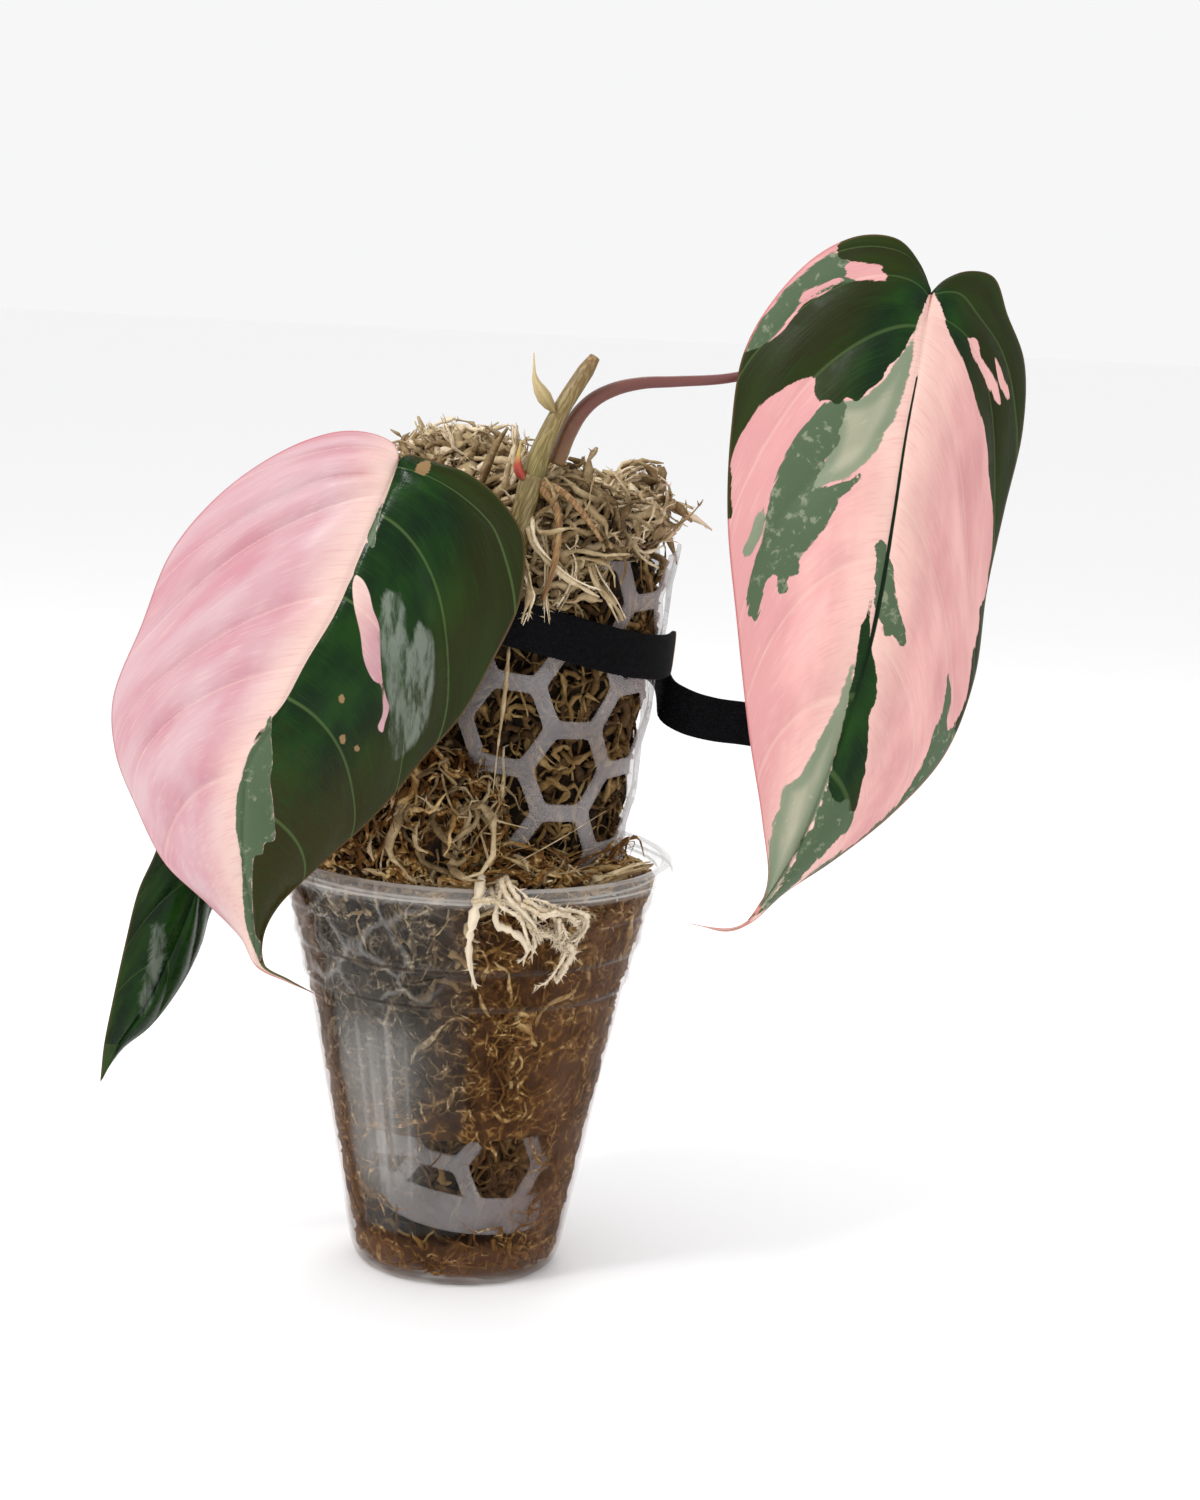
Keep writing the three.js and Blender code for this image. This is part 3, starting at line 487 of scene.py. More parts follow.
def rowsOf(column):
    # The right part of the sheet is one row lower
    return sheet["rows"] - (column > sheet["lowerFrom"])


def flatSheet():
    # All cells, the two margins and the border at the foot, as flat points with their share of thickness
    pitch, steps, border, thin = (sheet[key] for key in ("pitch", "sideSteps", "footBorder", "edgeWidth"))
    cell = pitch / math.sqrt(3)
    columnStep = 1.5 * cell * sheet["squash"]
    half = cell * sheet["squash"]
    parts = []
    footLine = []
    for n in range(sheet["columns"]):
        column = sheet["firstColumn"] + n
        middle = column * columnStep
        rows = rowsOf(column)
        if n % 2 == 0:
            parts += [cellSurface((middle, border + (row + 0.5) * pitch), 0, 6) for row in range(rows)]
            footLine.append(middle + np.linspace(-half / 2, half / 2, steps + 1))
        else:
            parts += [cellSurface((middle, border + row * pitch), 0, 6) for row in range(1, rows)]
            parts.append(cellSurface((middle, border + rows * pitch), 3, 6))
            parts.append(cellSurface((middle, border), 0, 3, sheet["floorRaise"]))
            footLine.append(middle + np.linspace(-half, half, 2 * steps + 1))
    lines = []
    for n, side, width in ((0, -1, sheet["innerMargin"]), (sheet["columns"] - 1, 1, sheet["outerMargin"])):
        # the near line of a margin follows the zigzag of the last column, its far line is straight
        column = sheet["firstColumn"] + n
        rows = rowsOf(column)
        edge = column * columnStep + side * half
        share = np.concatenate([np.linspace(0, 1 - thin / width, 6), [1]])
        v = border + np.linspace(0, rows * pitch, rows * 2 * steps + 1)
        wave = np.abs(((v - border) / pitch + (0 if n % 2 else 0.5)) % 1 - 0.5) * 2
        near = edge - side * half / 2 * (1 - wave)
        far = edge + side * width
        u = near[:, None] + (far - near[:, None]) * share
        flat = np.stack(np.broadcast_arrays(u, v[:, None]), -1).reshape(-1, 2)
        parts.append((flat, gridFaces(len(v), len(share)), np.tile(thinAt(share == 1), len(v))))
        lines.append(u[0])
    u = np.concatenate([lines[0][::-1], *footLine, lines[1]])
    u = u[np.concatenate([[True], np.diff(u) > 1e-6])]
    v = np.concatenate([[0, thin], np.linspace(0, border, 4)[1:]])
    flat = np.stack(np.meshgrid(u, v), -1).reshape(-1, 2)
    parts.append((flat, gridFaces(len(v), len(u)), np.repeat(thinAt(v == 0), len(u))))
    return parts


def sheetSurface():
    # Both faces of the flat pattern, rolled up, with a wall wherever an edge has only one face
    points, faceSets, values = join([(p, f, {"depth": d}) for p, f, d in flatSheet()])
    faces = np.concatenate(faceSets)
    rounded = np.round(points, 3)
    place, number = np.unique(rounded, axis=0, return_index=True, return_inverse=True)[1:]
    faces = number.ravel()[faces]
    flat = points[place]
    depth = values["depth"][place] * sheet["thickness"] / 2
    corners = flat[faces]
    area = np.sum(np.cross(corners, np.roll(corners, -1, 1)), 1)
    faces = np.where((area > 0)[:, None], faces, faces[:, ::-1])
    count = len(flat)
    edges = np.stack([faces, np.roll(faces, -1, 1)], -1).reshape(-1, 2)
    forward = edges[:, 0] * count + edges[:, 1]
    backward = edges[:, 1] * count + edges[:, 0]
    rim = edges[~np.isin(backward, forward)]
    walls = np.stack([rim[:, 1], rim[:, 0], rim[:, 0] + count, rim[:, 1] + count], -1)
    solid = np.concatenate([rolled(flat[:, 0], flat[:, 1], depth), rolled(flat[:, 0], flat[:, 1], -depth)])
    return solid, [faces, faces[:, ::-1] + count, walls], {}


def milkyPlastic():
    # Half clear and cloudy; it covers more where the cloud is thick and where it is seen edge on
    finish = Finish("milky_plastic", Roughness=0.24, IOR=1.5)
    finish.set("Specular IOR Level", 0.6)
    where = finish.place()
    cloud = finish.noise(where, sheet["cloudScale"])
    finish.set("Base Color", finish.ramp(cloud, sheet["tints"]))
    edge = finish.node("ShaderNodeLayerWeight", {"Blend": 0.4}).outputs["Facing"]
    cover = sheet["cover"]
    faceOn = finish.swung(cloud, cover["cloud"], cover["faceOn"])
    finish.set("Alpha", finish.scaled(edge, cover["edgeOn"], faceOn))
    finish.bump(finish.noise(where, 110.0, 2.0), 0.25, 0.5)
    return finish.material


makePiece("pole_sheet_rolled", sheetSurface(), milkyPlastic(), ["pole_sheet"],
          closeWithin=2e-6, smooth=False)
print("sheet ready")

# Cup: a thin cone turned round the upright, with three stacking rings and a rolled lip

cup = {
    "footRadius": 25.0,
    "taper": 0.196,
    "wall": 0.6,
    "rings": (71.5, 80.6, 90.2),
    "ringStep": 0.55,
    "ringRise": 1.1,
    "bead": {"out": 0.3, "above": 0.4, "halfHeight": 0.35},
    "foot": [(0.02, 1.2), (12, 1.2), (19.5, 1.2), (21, 0.3), (22.4, 0), (23.4, 0.2), (24.7, 1.4), (25.4, 3)],
    "plainWall": (4.5, 70, 14),
    "ringedWall": (71, 96, 76),
    "lip": [(46.3, 96.6), (47.4, 97.5), (48.6, 98.7), (49.0, 100.2), (48.3, 101.6), (46.9, 102.2),
            (45.8, 101.4), (45.3, 99.9), (45.1, 98)],
    "floor": [(24.4, 3.2), (23.4, 2.2), (21, 1.9), (0.02, 1.9)],
    "segments": 116,
}


def cupRadius(height):
    # An even taper and a small smooth step at each ring
    steps = sum(smoothStep(height, ring, ring + cup["ringRise"]) for ring in cup["rings"])
    return cup["footRadius"] + cup["taper"] * height + cup["ringStep"] * steps


def cupSurface():
    # The wall's section turned round the upright: outside up with a bell-shaped bead on each ring, over
    # the lip through its own points, inside down to the floor
    heights = np.concatenate([np.linspace(*cup["plainWall"]), np.linspace(*cup["ringedWall"])])
    bead = cup["bead"]
    above = [heights - ring - bead["above"] for ring in cup["rings"]]
    bells = sum(np.exp(-(rise / bead["halfHeight"]) ** 2) for rise in above)
    wall = np.stack([cupRadius(heights) + bead["out"] * bells, heights], -1)
    inside = wall[::-1] - np.array([cup["wall"], 0])
    section = np.concatenate([cup["foot"], wall, curveThrough(cup["lip"], 28), inside, cup["floor"]])
    turn = np.linspace(-np.pi, np.pi, cup["segments"], endpoint=False)
    points = np.stack([
        section[:, :1] * np.sin(turn), -section[:, :1] * np.cos(turn),
        np.broadcast_to(section[:, 1:], (len(section), len(turn)))], -1)
    faces = gridFaces(len(section), len(turn), True)
    values = {"turn": np.tile(np.degrees(turn), len(section)), "height": np.repeat(section[:, 1], len(turn))}
    return points.reshape(-1, 3), faces, values


cupFilm = {
    # where a film begins and where it is full, as turns in degrees or heights
    "leftTurn": (5.0, -40.0),
    "upperHeight": (68.0, 76.0),
    # where the painted reflection strip lies
    "stripTurn": ((-58.0, -46.0), (-10.0, -32.0)),
    "stripHeight": ((18.0, 32.0), (71.0, 60.0)),
    "lipHeight": (96.5, 98.5),
    # heights of the two painted highlight lines on the lip
    "highlightHeights": (98.9, 101.9),
    "stainTurns": ((0.0, 60.0), (-50.0, -66.0)),
    "stainTop": (99.0, 90.0),
    "footHeight": (14.0, 7.0),
    # how much each film covers
    "web": 0.17,
    "haze": 0.012,
    "cloud": 0.05,
    "strip": (0.2, 0.11),
    "lip": 0.13,
    "lipHighlight": 0.35,
    "stain": (0.05, 0.2),
    "foot": 1.2,
    "ringShade": 0.14,
    # how much the clear wall mirrors: added edge on, and seen from the front
    "mirror": (0.28, 0.01),
    "paleTint": colour(208, 204, 198),
    "stainTint": colour(118, 74, 38),
    "ringShadeTint": colour(62, 44, 30),
}


def clearPlastic():
    # Clear and mirror-like, more so edge on; haze, fog webs, a brown stain from the wet moss at the sides,
    # painted shade on the ring lines, a painted reflection strip and painted highlight lines on the lip lie
    # on it as a dull film
    finish = Finish("clear_plastic", Roughness=0.07, IOR=1.5)
    where, height, turn = finish.place(), finish.read("height"), finish.read("turn")
    facing = finish.node("ShaderNodeLayerWeight", {"Blend": 0.3}).outputs["Facing"]
    mirror = finish.scaled(finish.math('POWER', facing, 3.0), *cupFilm["mirror"])

    onLeft = finish.step(turn, *cupFilm["leftTurn"])
    webs = finish.cells(finish.warped(where, 70.0, 0.012), 80.0)
    fogged = finish.times(onLeft, finish.step(height, *cupFilm["upperHeight"]))
    web = finish.times(finish.step(webs, 0.0, 0.07, (1.0, 0.0)), fogged)
    cloud = finish.step(finish.noise(where, 35.0), 0.35, 0.8)
    film = finish.scaled(web, cupFilm["web"], finish.times(onLeft, cupFilm["haze"]))
    film = finish.scaled(cloud, finish.times(onLeft, cupFilm["cloud"]), film)

    # painted reflection: a pale streaky strip on the left front of the wall stands in for a glare
    runs = finish.vector(turn, finish.times(height, 0.03))
    streak = finish.step(finish.noise(runs, 0.22, 2.0), 0.5, 0.72)
    across = finish.window(turn, *cupFilm["stripTurn"])
    strip = finish.times(across, finish.window(height, *cupFilm["stripHeight"]))
    film = finish.scaled(strip, finish.scaled(streak, *cupFilm["strip"]), film)
    film = finish.scaled(finish.step(height, *cupFilm["lipHeight"]), cupFilm["lip"], film)
    # painted highlight: two thin pale lines round the lip
    fromHighlights = [finish.apart(height, level) for level in cupFilm["highlightHeights"]]
    film = finish.scaled(finish.step(finish.math('MINIMUM', *fromHighlights), 0.5, 0.2), cupFilm["lipHighlight"], film)

    sides = finish.math('MAXIMUM', *[finish.step(turn, *ends) for ends in cupFilm["stainTurns"]])
    stain = finish.times(sides, finish.step(height, *cupFilm["stainTop"]))
    stain = finish.math('MAXIMUM', stain, finish.step(height, *cupFilm["footHeight"], (0.0, cupFilm["foot"])))
    mottled = finish.step(finish.noise(where, 90.0, 4.0), 0.25, 0.7, cupFilm["stain"])
    stain = finish.times(stain, mottled)
    # painted shade: thin dark lines just above the first two rings, where the steps look dark
    near = [finish.apart(height, ring + 0.5) for ring in cup["rings"][:2]]
    line = finish.step(finish.math('MINIMUM', *near), 0.8, 0.2, (0.0, cupFilm["ringShade"]))
    film = finish.math('ADD', finish.math('ADD', film, stain), line)

    cover = finish.math('ADD', mirror, film)
    finish.set("Alpha", finish.math('MINIMUM', cover, 0.95))
    finish.set("Metallic", finish.math('DIVIDE', mirror, cover))
    stained = finish.math('DIVIDE', stain, finish.math('MAXIMUM', film, 0.001))
    tint = finish.mix(finish.step(stained, 0.0, 0.6), cupFilm["paleTint"], cupFilm["stainTint"])
    finish.set("Base Color", finish.mix(finish.step(line, 0.02, 0.10), tint, cupFilm["ringShadeTint"]))
    return finish.material


makePiece("cup_clear", cupSurface(), clearPlastic(), ["cup"], closeWithin=3e-5)
print("cup ready")

# Leaves

leafShape = {
    "tailShare": 0.86,
    "lobeShare": 0.2,
    "lobeFan": 0.05,
    "rows": ((0, 0.17, 42), (0.17, 0.86, 130), (0.86, 1, 44)),
    "halfColumns": 54,
    "thickness": 0.5,
    "edgeThickness": 0.22,
    "veinSweep": 0.25,
    "sweepEnd": 0.6,
    "edgeWidth": 2.0,
    "ridge": {"height": 0.55, "width": 0.9},
    "groove": {"depth": 0.25, "width": 0.7},
}

leaves = {
    "leaf_right": {
        "left": [
            (95, -46, 239), (92, -47, 245), (87, -47, 250), (79, -46, 250.5), (70, -45, 246), (61, -44, 236),
            (55, -44, 224), (53, -46, 207), (53, -50, 188), (56, -53, 166), (60, -55, 141), (64, -55, 122),
            (66, -54, 107), (62, -52, 98), (58, -49, 96), (50, -46, 96)],
        "right": [
            (95, -46, 239), (98, -46, 242), (103, -45, 244), (109, -43, 243), (113, -41, 235),
            (118, -38, 225), (119, -37, 210), (116, -38, 192), (113, -40, 174), (111, -43, 154),
            (105, -46, 137), (94, -49, 124), (81, -51, 113), (70, -52, 105), (63, -52, 98), (58, -49, 95.2),
            (50, -46, 96)],
        "rib": [
            (95, -46, 239), (93, -52, 227), (90, -57, 209), (88, -60, 191), (86, -61, 173), (83, -61, 155),
            (78, -59, 136), (72, -57, 117), (65, -54, 103), (62, -52, 98), (57, -49, 95.6), (50, -46, 96)],
        "tailFrom": (13, 14, 9),
        "swell": (3.4, 4.2),
        "folds": 7,
        "foldHeight": 0.5,
        "mainVeins": ([-0.3, -0.08, 0.05, 0.2, 0.33, 0.46, 0.6, 0.86],
                      [-0.3, 0.03, 0.13, 0.26, 0.4, 0.54, 0.68, 0.86]),
        "puff": (1.2, 1.0),
        "slot": "leaf_pink",
    },
    "leaf_left": {
        "left": [
            (-19, -58, 198), (-20, -57, 201), (-24, -55, 203), (-31, -53, 203.4), (-40, -50, 200.6),
            (-51, -47, 194), (-61, -45, 185), (-69, -44, 174), (-75, -42, 158), (-81, -42, 141),
            (-80, -43, 129), (-75, -46, 118), (-68, -49, 106), (-58, -53, 98), (-50, -56, 91),
            (-46.4, -57, 85), (-40, -52, 80.4), (-32, -44, 75)],
        "right": [
            (-19, -58, 198), (-17, -59, 199.4), (-12, -60, 198.4), (-4, -61, 196), (3, -62, 191),
            (8, -61, 184), (9, -60, 178), (8, -60, 168), (3, -60, 156), (-3, -60, 144), (-11, -60, 134),
            (-21, -60, 121), (-33, -60, 109), (-42, -59, 99), (-45, -58, 92), (-44.6, -57, 85.6),
            (-39.6, -52, 81.2), (-32, -44, 75)],
        "rib": [
            (-19, -58, 198), (-22, -61, 189), (-26, -65, 179), (-31, -69, 166), (-37, -71, 155),
            (-43, -72, 142), (-48, -72, 133), (-49, -70, 123), (-49, -67, 110), (-47, -63, 98),
            (-45.6, -57.6, 85.6), (-40, -52.4, 80.8), (-32, -44, 75)],
        "tailFrom": (15, 15, 10),
        "swell": (4.6, 3.6),
        "folds": 6,
        "foldHeight": 0.7,
        "mainVeins": ([-0.3, -0.02, 0.13, 0.21, 0.36, 0.46, 0.6, 0.86],
                      [-0.3, 0.05, 0.24, 0.36, 0.5, 0.64, 0.86]),
        "puff": (2.1, 1.7),
        "slot": "leaf_pink",
    },
    "leaf_back": {
        "left": [
            (-56, -16, 138), (-58, -18, 142), (-61, -20, 144), (-65, -22, 140), (-68, -23, 130),
            (-70, -23, 117), (-73, -22, 103), (-77, -21, 93), (-80, -19, 80), (-83, -17, 65),
            (-85, -15, 54), (-86, -13, 44)],
        "right": [
            (-56, -16, 138), (-53, -14, 140), (-50, -10, 137), (-47, -5, 127), (-48, -1, 114),
            (-51, 1, 103), (-57, 1, 92), (-62, 0, 84), (-64, -2, 76), (-68, -5, 67), (-75, -8, 57),
            (-81, -10, 52), (-84, -12, 48), (-86, -13, 44)],
        "rib": [
            (-56, -16, 138), (-58, -14, 123), (-61, -12, 106), (-65, -11, 91), (-70, -11, 77),
            (-76, -12, 63), (-82, -12, 53), (-86, -13, 44)],
        "tailFrom": (10, 12, 6),
        "swell": (2.6, 2.6),
        "folds": 6,
        "foldHeight": 0.4,
        "mainVeins": ([-0.3, 0.05, 0.2, 0.36, 0.52, 0.68, 0.86], [-0.3, 0.05, 0.2, 0.36, 0.52, 0.68, 0.86]),
        "puff": (1.0, 1.0),
        "slot": "leaf_green",
    },
}


def edgeLine(points, tailFrom):
    # The smooth line through the points, read by t: the blade up to tailShare, then the drip tip
    line = curveThrough(points, 2400)
    reach = lengthAlong(line)
    split = reach[round((len(line) - 1) * tailFrom / (len(points) - 1))]
    tail = leafShape["tailShare"]

    def at(t):
        beyond = (reach[-1] - split) * np.maximum(t - tail, 0) / (1 - tail)
        wanted = split * np.minimum(t, tail) / tail + beyond
        return np.stack([np.interp(wanted, reach, line[:, k]) for k in range(3)], -1)

    return at


def ribShare(t):
    # How far down the midrib the side vein starts that ends at edge place t: slowly round the lobes,
    # then evenly, and level with t in the drip tip
    tail, lobe, fan = leafShape["tailShare"], leafShape["lobeShare"], leafShape["lobeFan"]
    below = fan + (tail - fan) * np.clip((t - lobe) / (tail - lobe), 0, 1) ** 1.08
    return np.where(t >= tail, t, np.where(t < lobe, fan * t / lobe, below))


def veinLabel(t, r):
    # The fine veins run forward as they go out: a vein that leaves the midrib at place `label` reaches
    # t = label + sweep r squared, less towards the tip
    tail, end = leafShape["tailShare"], leafShape["sweepEnd"]
    ahead = leafShape["veinSweep"] * r ** 2
    plain = t - ahead
    slowed = (t - ahead * tail / end) / (1 - ahead / end)
    return np.where(t > tail, t, np.where(plain > tail - end, slowed, plain))


def bladeSurface(leaf, t, r):
    # A line from the midrib to the edge for each t, arched forward and gently folded, then swollen
    # between the main veins by a sine arch over the vein label
    rib, left, right = (edgeLine(leaf[key], leaf["tailFrom"][n])
                        for key, n in (("rib", 2), ("left", 0), ("right", 1)))
    onLeft = (r < 0)[..., None]
    reach = np.abs(r)
    point = rib(ribShare(t))
    point = point + (np.where(onLeft, left(t), right(t)) - point) * reach[..., None]
    fade = np.sin(np.pi * np.minimum(t / leafShape["tailShare"], 1)) ** 0.7
    arch = np.where(r < 0, *leaf["swell"]) * np.sin(np.pi * reach ** 0.75)
    fold = leaf["foldHeight"] * np.sin(2 * np.pi * leaf["folds"] * t) * np.sin(np.pi * reach)
    point[..., 1] -= fade * (arch + 0.4 * fold)
    label = veinLabel(t, r)
    veins = [np.interp(label, marks, np.arange(len(marks))) for marks in leaf["mainVeins"]]
    between = np.where(r < 0, *veins)
    puff = np.abs(np.sin(np.pi * between)) ** 0.7 - 0.6
    across = smoothStep(reach, 0.02, 0.3) * smoothStep(1 - reach, 0.0, 0.3)
    relief = np.where(r < 0, *leaf["puff"]) * puff * across * fade
    return point, relief, label, between


def bladeNormals(point):
    # The slope along the blade crossed with the slope across it, turned to the front
    along = np.gradient(point, axis=0)
    across = np.gradient(point, axis=1)
    normal = unit(np.cross(across, along))
    normal[0] = normal[1]
    normal[-1] = normal[-2]
    return normal * -np.sign(np.mean(normal[..., 1]))


def leafSurface(leaf, patchFields, coarse):
    # Both faces of the blade as one ring for each t: over the front from edge to edge and back
    rows = [np.linspace(first, last, n // coarse, endpoint=False) for first, last, n in leafShape["rows"]]
    half = leafShape["halfColumns"] // coarse
    t, r = np.broadcast_arrays(np.concatenate([*rows, [1]])[:, None], np.linspace(-1, 1, 2 * half + 1)[None])
    point, relief, label, between = bladeSurface(leaf, t, r)
    normal = bladeNormals(point)
    fromRib = np.linalg.norm(point - point[:, half:half + 1], axis=-1)
    edge = np.where((r < 0)[..., None], point[:, :1], point[:, -1:])
    fromEdge = np.linalg.norm(point - edge, axis=-1)
    thin, thick = leafShape["edgeThickness"], leafShape["thickness"]
    lift = (thin + (thick - thin) * smoothStep(fromEdge, 0, leafShape["edgeWidth"])) / 2
    ridge, groove = leafShape["ridge"], leafShape["groove"]
    ridge = ridge["height"] * np.exp(-(fromRib / ridge["width"]) ** 2) * smoothStep(1 - t, 0.0, 0.3)
    groove = groove["depth"] * np.exp(-(fromRib / groove["width"]) ** 2)
    front = point + normal * (lift + relief - groove)[..., None]
    back = point - normal * (lift - relief + ridge)[..., None]
    # all of a first or last row meets in one point
    front[0] = back[0] = point[0]
    front[-1] = back[-1] = point[-1]
    ring = np.concatenate([front, back[:, ::-1]], 1)
    values = {"t": t, "r": r, "label": label, "between": between, "fromRib": fromRib, "fromEdge": fromEdge}
    values |= patchFields(point, r, fromRib)
    rings = {key: np.concatenate([value, value[:, ::-1]], 1).ravel() for key, value in values.items()}
    rings["under"] = np.tile(np.repeat([0.0, 1.0], r.shape[1]), len(r))
    return ring.reshape(-1, 3), gridFaces(*ring.shape[:2], True), rings


patchReach = 6.0  # millimetres


def patchDistance(x, z, outline):
    # Signed distance in millimetres to a smooth closed outline, more than 0 inside it and at least
    # -patchReach outside; inside is where a ray to the right crosses the outline an odd number of times
    closed = [*outline, outline[0]]
    line = curveThrough(closed, 6 * len(closed))
    (ax, az), (bx, bz) = line[:-1].T, line[1:].T
    near = (x > ax.min() - patchReach) & (x < ax.max() + patchReach)
    near &= (z > az.min() - patchReach) & (z < az.max() + patchReach)
    px, pz = x[near][:, None], z[near][:, None]
    dx, dz = bx - ax, bz - az
    share = np.clip(((px - ax) * dx + (pz - az) * dz) / np.maximum(dx ** 2 + dz ** 2, 1e-9), 0, 1)
    away = np.hypot(px - ax - share * dx, pz - az - share * dz).min(1)
    level = ax + dx * (pz - az) / np.where(dz == 0, 1e-9, dz)
    crosses = ((az > pz) != (bz > pz)) & (px < level)
    result = np.full(x.shape, -patchReach)
    result[near] = np.where(crosses.sum(1) % 2 == 1, away, -away)
    return result


# Outlines of the coloured patches, as x and z on the leaf

rightPatches = {
    "dark": [
        [(74, 247), (74.5, 249), (79, 253), (85.5, 254), (92, 251), (94, 246), (95, 242.5), (95, 240),
         (89, 241.5), (85.5, 242), (83.5, 243), (84, 244), (80, 244.5), (76, 245), (74.5, 245.5)],
        [(94.5, 239.5), (91, 240), (87, 241), (82, 241), (78, 240.5), (74, 239.5), (71, 237.5), (67.5, 235.5),
         (65, 232), (63, 229), (60, 226.5), (57.5, 225), (55, 224), (51, 221), (49, 217), (49, 210.5),
         (49, 203), (49, 193), (53.5, 188), (53.5, 195.5), (53.5, 201.5), (54.5, 205), (56.5, 208.5),
         (60, 214), (62.5, 216), (65.5, 218), (67, 219), (70, 220), (70, 218), (71, 214.5), (73, 215),
         (75, 214), (77, 215.5), (79, 215), (81.5, 217.5), (84.5, 220), (85.5, 222.5), (88, 225),
         (90, 228.5), (92, 233), (93.5, 237)],
        [(84.5, 178), (83.5, 171.5), (82, 165.5), (81.5, 159.5), (80.5, 150.5), (79.5, 143.5), (78, 134.5),
         (77.5, 131.5), (79, 128.5), (80.5, 127.5), (81.5, 128.5), (83, 127.5), (82.5, 125.5), (84, 125),
         (84.5, 127.5), (85, 131.5), (85.5, 137), (85.5, 148.5), (86.5, 151.5), (86, 158), (84.5, 163.5),
         (84, 167.5), (84, 171.5)],
        [(84.5, 241), (86, 244), (90, 244), (95.5, 242), (95.8, 239), (90, 238.5), (85, 239.5)],
        [(95, 240.5), (97.5, 243), (100.5, 246), (105, 248), (112, 247), (118, 239), (123, 230.5),
         (125, 222), (125, 210), (122, 195), (118, 182), (117, 173.5), (116, 162), (113, 164), (113, 176),
         (113, 185), (112.5, 192.5), (110.5, 200.5), (109.5, 205.5), (108, 210.5), (106, 215.5),
         (103.5, 221.5), (101, 226.5), (98.5, 231.5), (97, 236), (95.5, 239)],
        [(117, 184), (113.5, 177.5), (112, 171.5), (111, 170), (111, 166), (110, 160.5), (109.5, 153.5),
         (108.5, 148), (106.5, 144), (107.5, 142), (112, 147), (116, 158), (118, 172)],
    ],
    "sage": [
        [(54.5, 223), (56, 226.5), (58.5, 231), (61.5, 235.5), (65, 240), (69, 243.5), (74, 246.5),
         (76.5, 244.5), (76, 241.5), (78, 240.5), (72, 238), (67, 235.6), (64, 231.5), (60.5, 227),
         (57, 224)],
        [(71, 212.5), (73, 214.5), (77, 215), (76, 210.5), (75.5, 206), (73.5, 203), (71.5, 199), (70, 195),
         (73.5, 197), (78, 198), (81.5, 202), (80, 198.5), (76.5, 194), (74, 188.5), (71.5, 184.5),
         (68.5, 181), (68.5, 178), (66.5, 176.5), (66, 173.5), (64.5, 173.5), (64.5, 176), (63.5, 177),
         (62, 175.5), (61, 171.5), (60, 166.5), (58.5, 167.5), (58, 172.5), (59, 178.5), (61, 188),
         (61.5, 192.5), (63, 197.5), (64.5, 201.5), (66, 205), (67.5, 208)],
        [(84.5, 184.5), (85.5, 186), (87, 183.5), (88.5, 180), (89, 176), (90.5, 169.5), (92, 165),
         (91.5, 162.5), (89.5, 165), (88, 165.5), (86.5, 168), (85, 171.5), (84.5, 178)],
        [(80.5, 134), (77.5, 131.5), (76.5, 128), (75, 123), (72.5, 117.5), (70.5, 111.5), (67.5, 105.5),
         (64, 101), (61, 98.5), (64, 100.5), (68.5, 103.5), (73, 109), (75.5, 113), (77.5, 115),
         (79.5, 117.5), (82.5, 120), (84, 122.5), (84, 125.5)],
        [(103.5, 156), (105, 152), (105, 149), (104.5, 145.5), (105.5, 143), (107.5, 144.5), (114, 149),
         (113, 142.5), (102.5, 130), (95, 121), (87, 114), (78, 109), (70.5, 103), (64, 99), (70.5, 105),
         (78, 112.5), (83.5, 116), (89, 120.5), (93, 124.5), (95.5, 128.5), (98, 132.5), (99.5, 136.5),
         (100.5, 139.5), (101, 142.5), (102.5, 147), (103, 152)],
    ],
    "pale": [
        [(92, 232.5), (90, 228.5), (87.5, 224.5), (84.5, 220), (80, 215.5), (73, 214.5), (75, 209.5),
         (73.5, 204), (70, 195), (73.5, 197), (77.5, 198.5), (81.5, 202), (84.5, 207), (87.5, 213),
         (89, 218), (91, 225), (91, 229)],
        [(61, 192), (59, 189), (58, 185), (56.5, 181), (58, 180.5), (60, 184.5), (61, 188)],
        [(81.5, 160), (80, 157), (79, 152.5), (77, 147), (74.5, 141), (72.5, 136.5), (71, 133), (68, 130.5),
         (67.5, 127), (66.5, 121), (66, 118), (66, 112.5), (65.5, 107), (64.5, 103.5), (62, 99.5),
         (65.5, 102.5), (69, 109), (72.5, 117.5), (75, 123), (77.5, 131.5), (79.5, 143.5), (80.5, 151.5)],
    ],
    "pink": [
        [(76, 244.5), (79, 244.5), (82, 244), (83.5, 243), (84, 242), (81, 241.5), (77, 241), (76, 242.5)],
        [(66.5, 236), (67, 237.6), (70.5, 239.6), (74.5, 241), (76, 240.6), (72.5, 239), (68.5, 236.5)],
        [(103.5, 229.5), (105, 229.5), (107, 225.5), (110, 221.5), (111.5, 218.5), (112.5, 215.5),
         (111.5, 215.5), (110, 218), (108, 221), (105.5, 224.5), (104, 227.5)],
        [(110, 225.5), (111.5, 223.5), (113, 220.5), (114.5, 217.5), (114, 216), (113, 217.5),
         (111.5, 219.5), (110.5, 222.5)],
    ],
    # heights and the half width of the dark line along the midrib
    "hairline": [(148, -1), (158, 0.5), (168, 0.7), (178, 0.65), (190, 0.5), (205, 0.4), (221, 0.25),
                 (223, -1)],
}

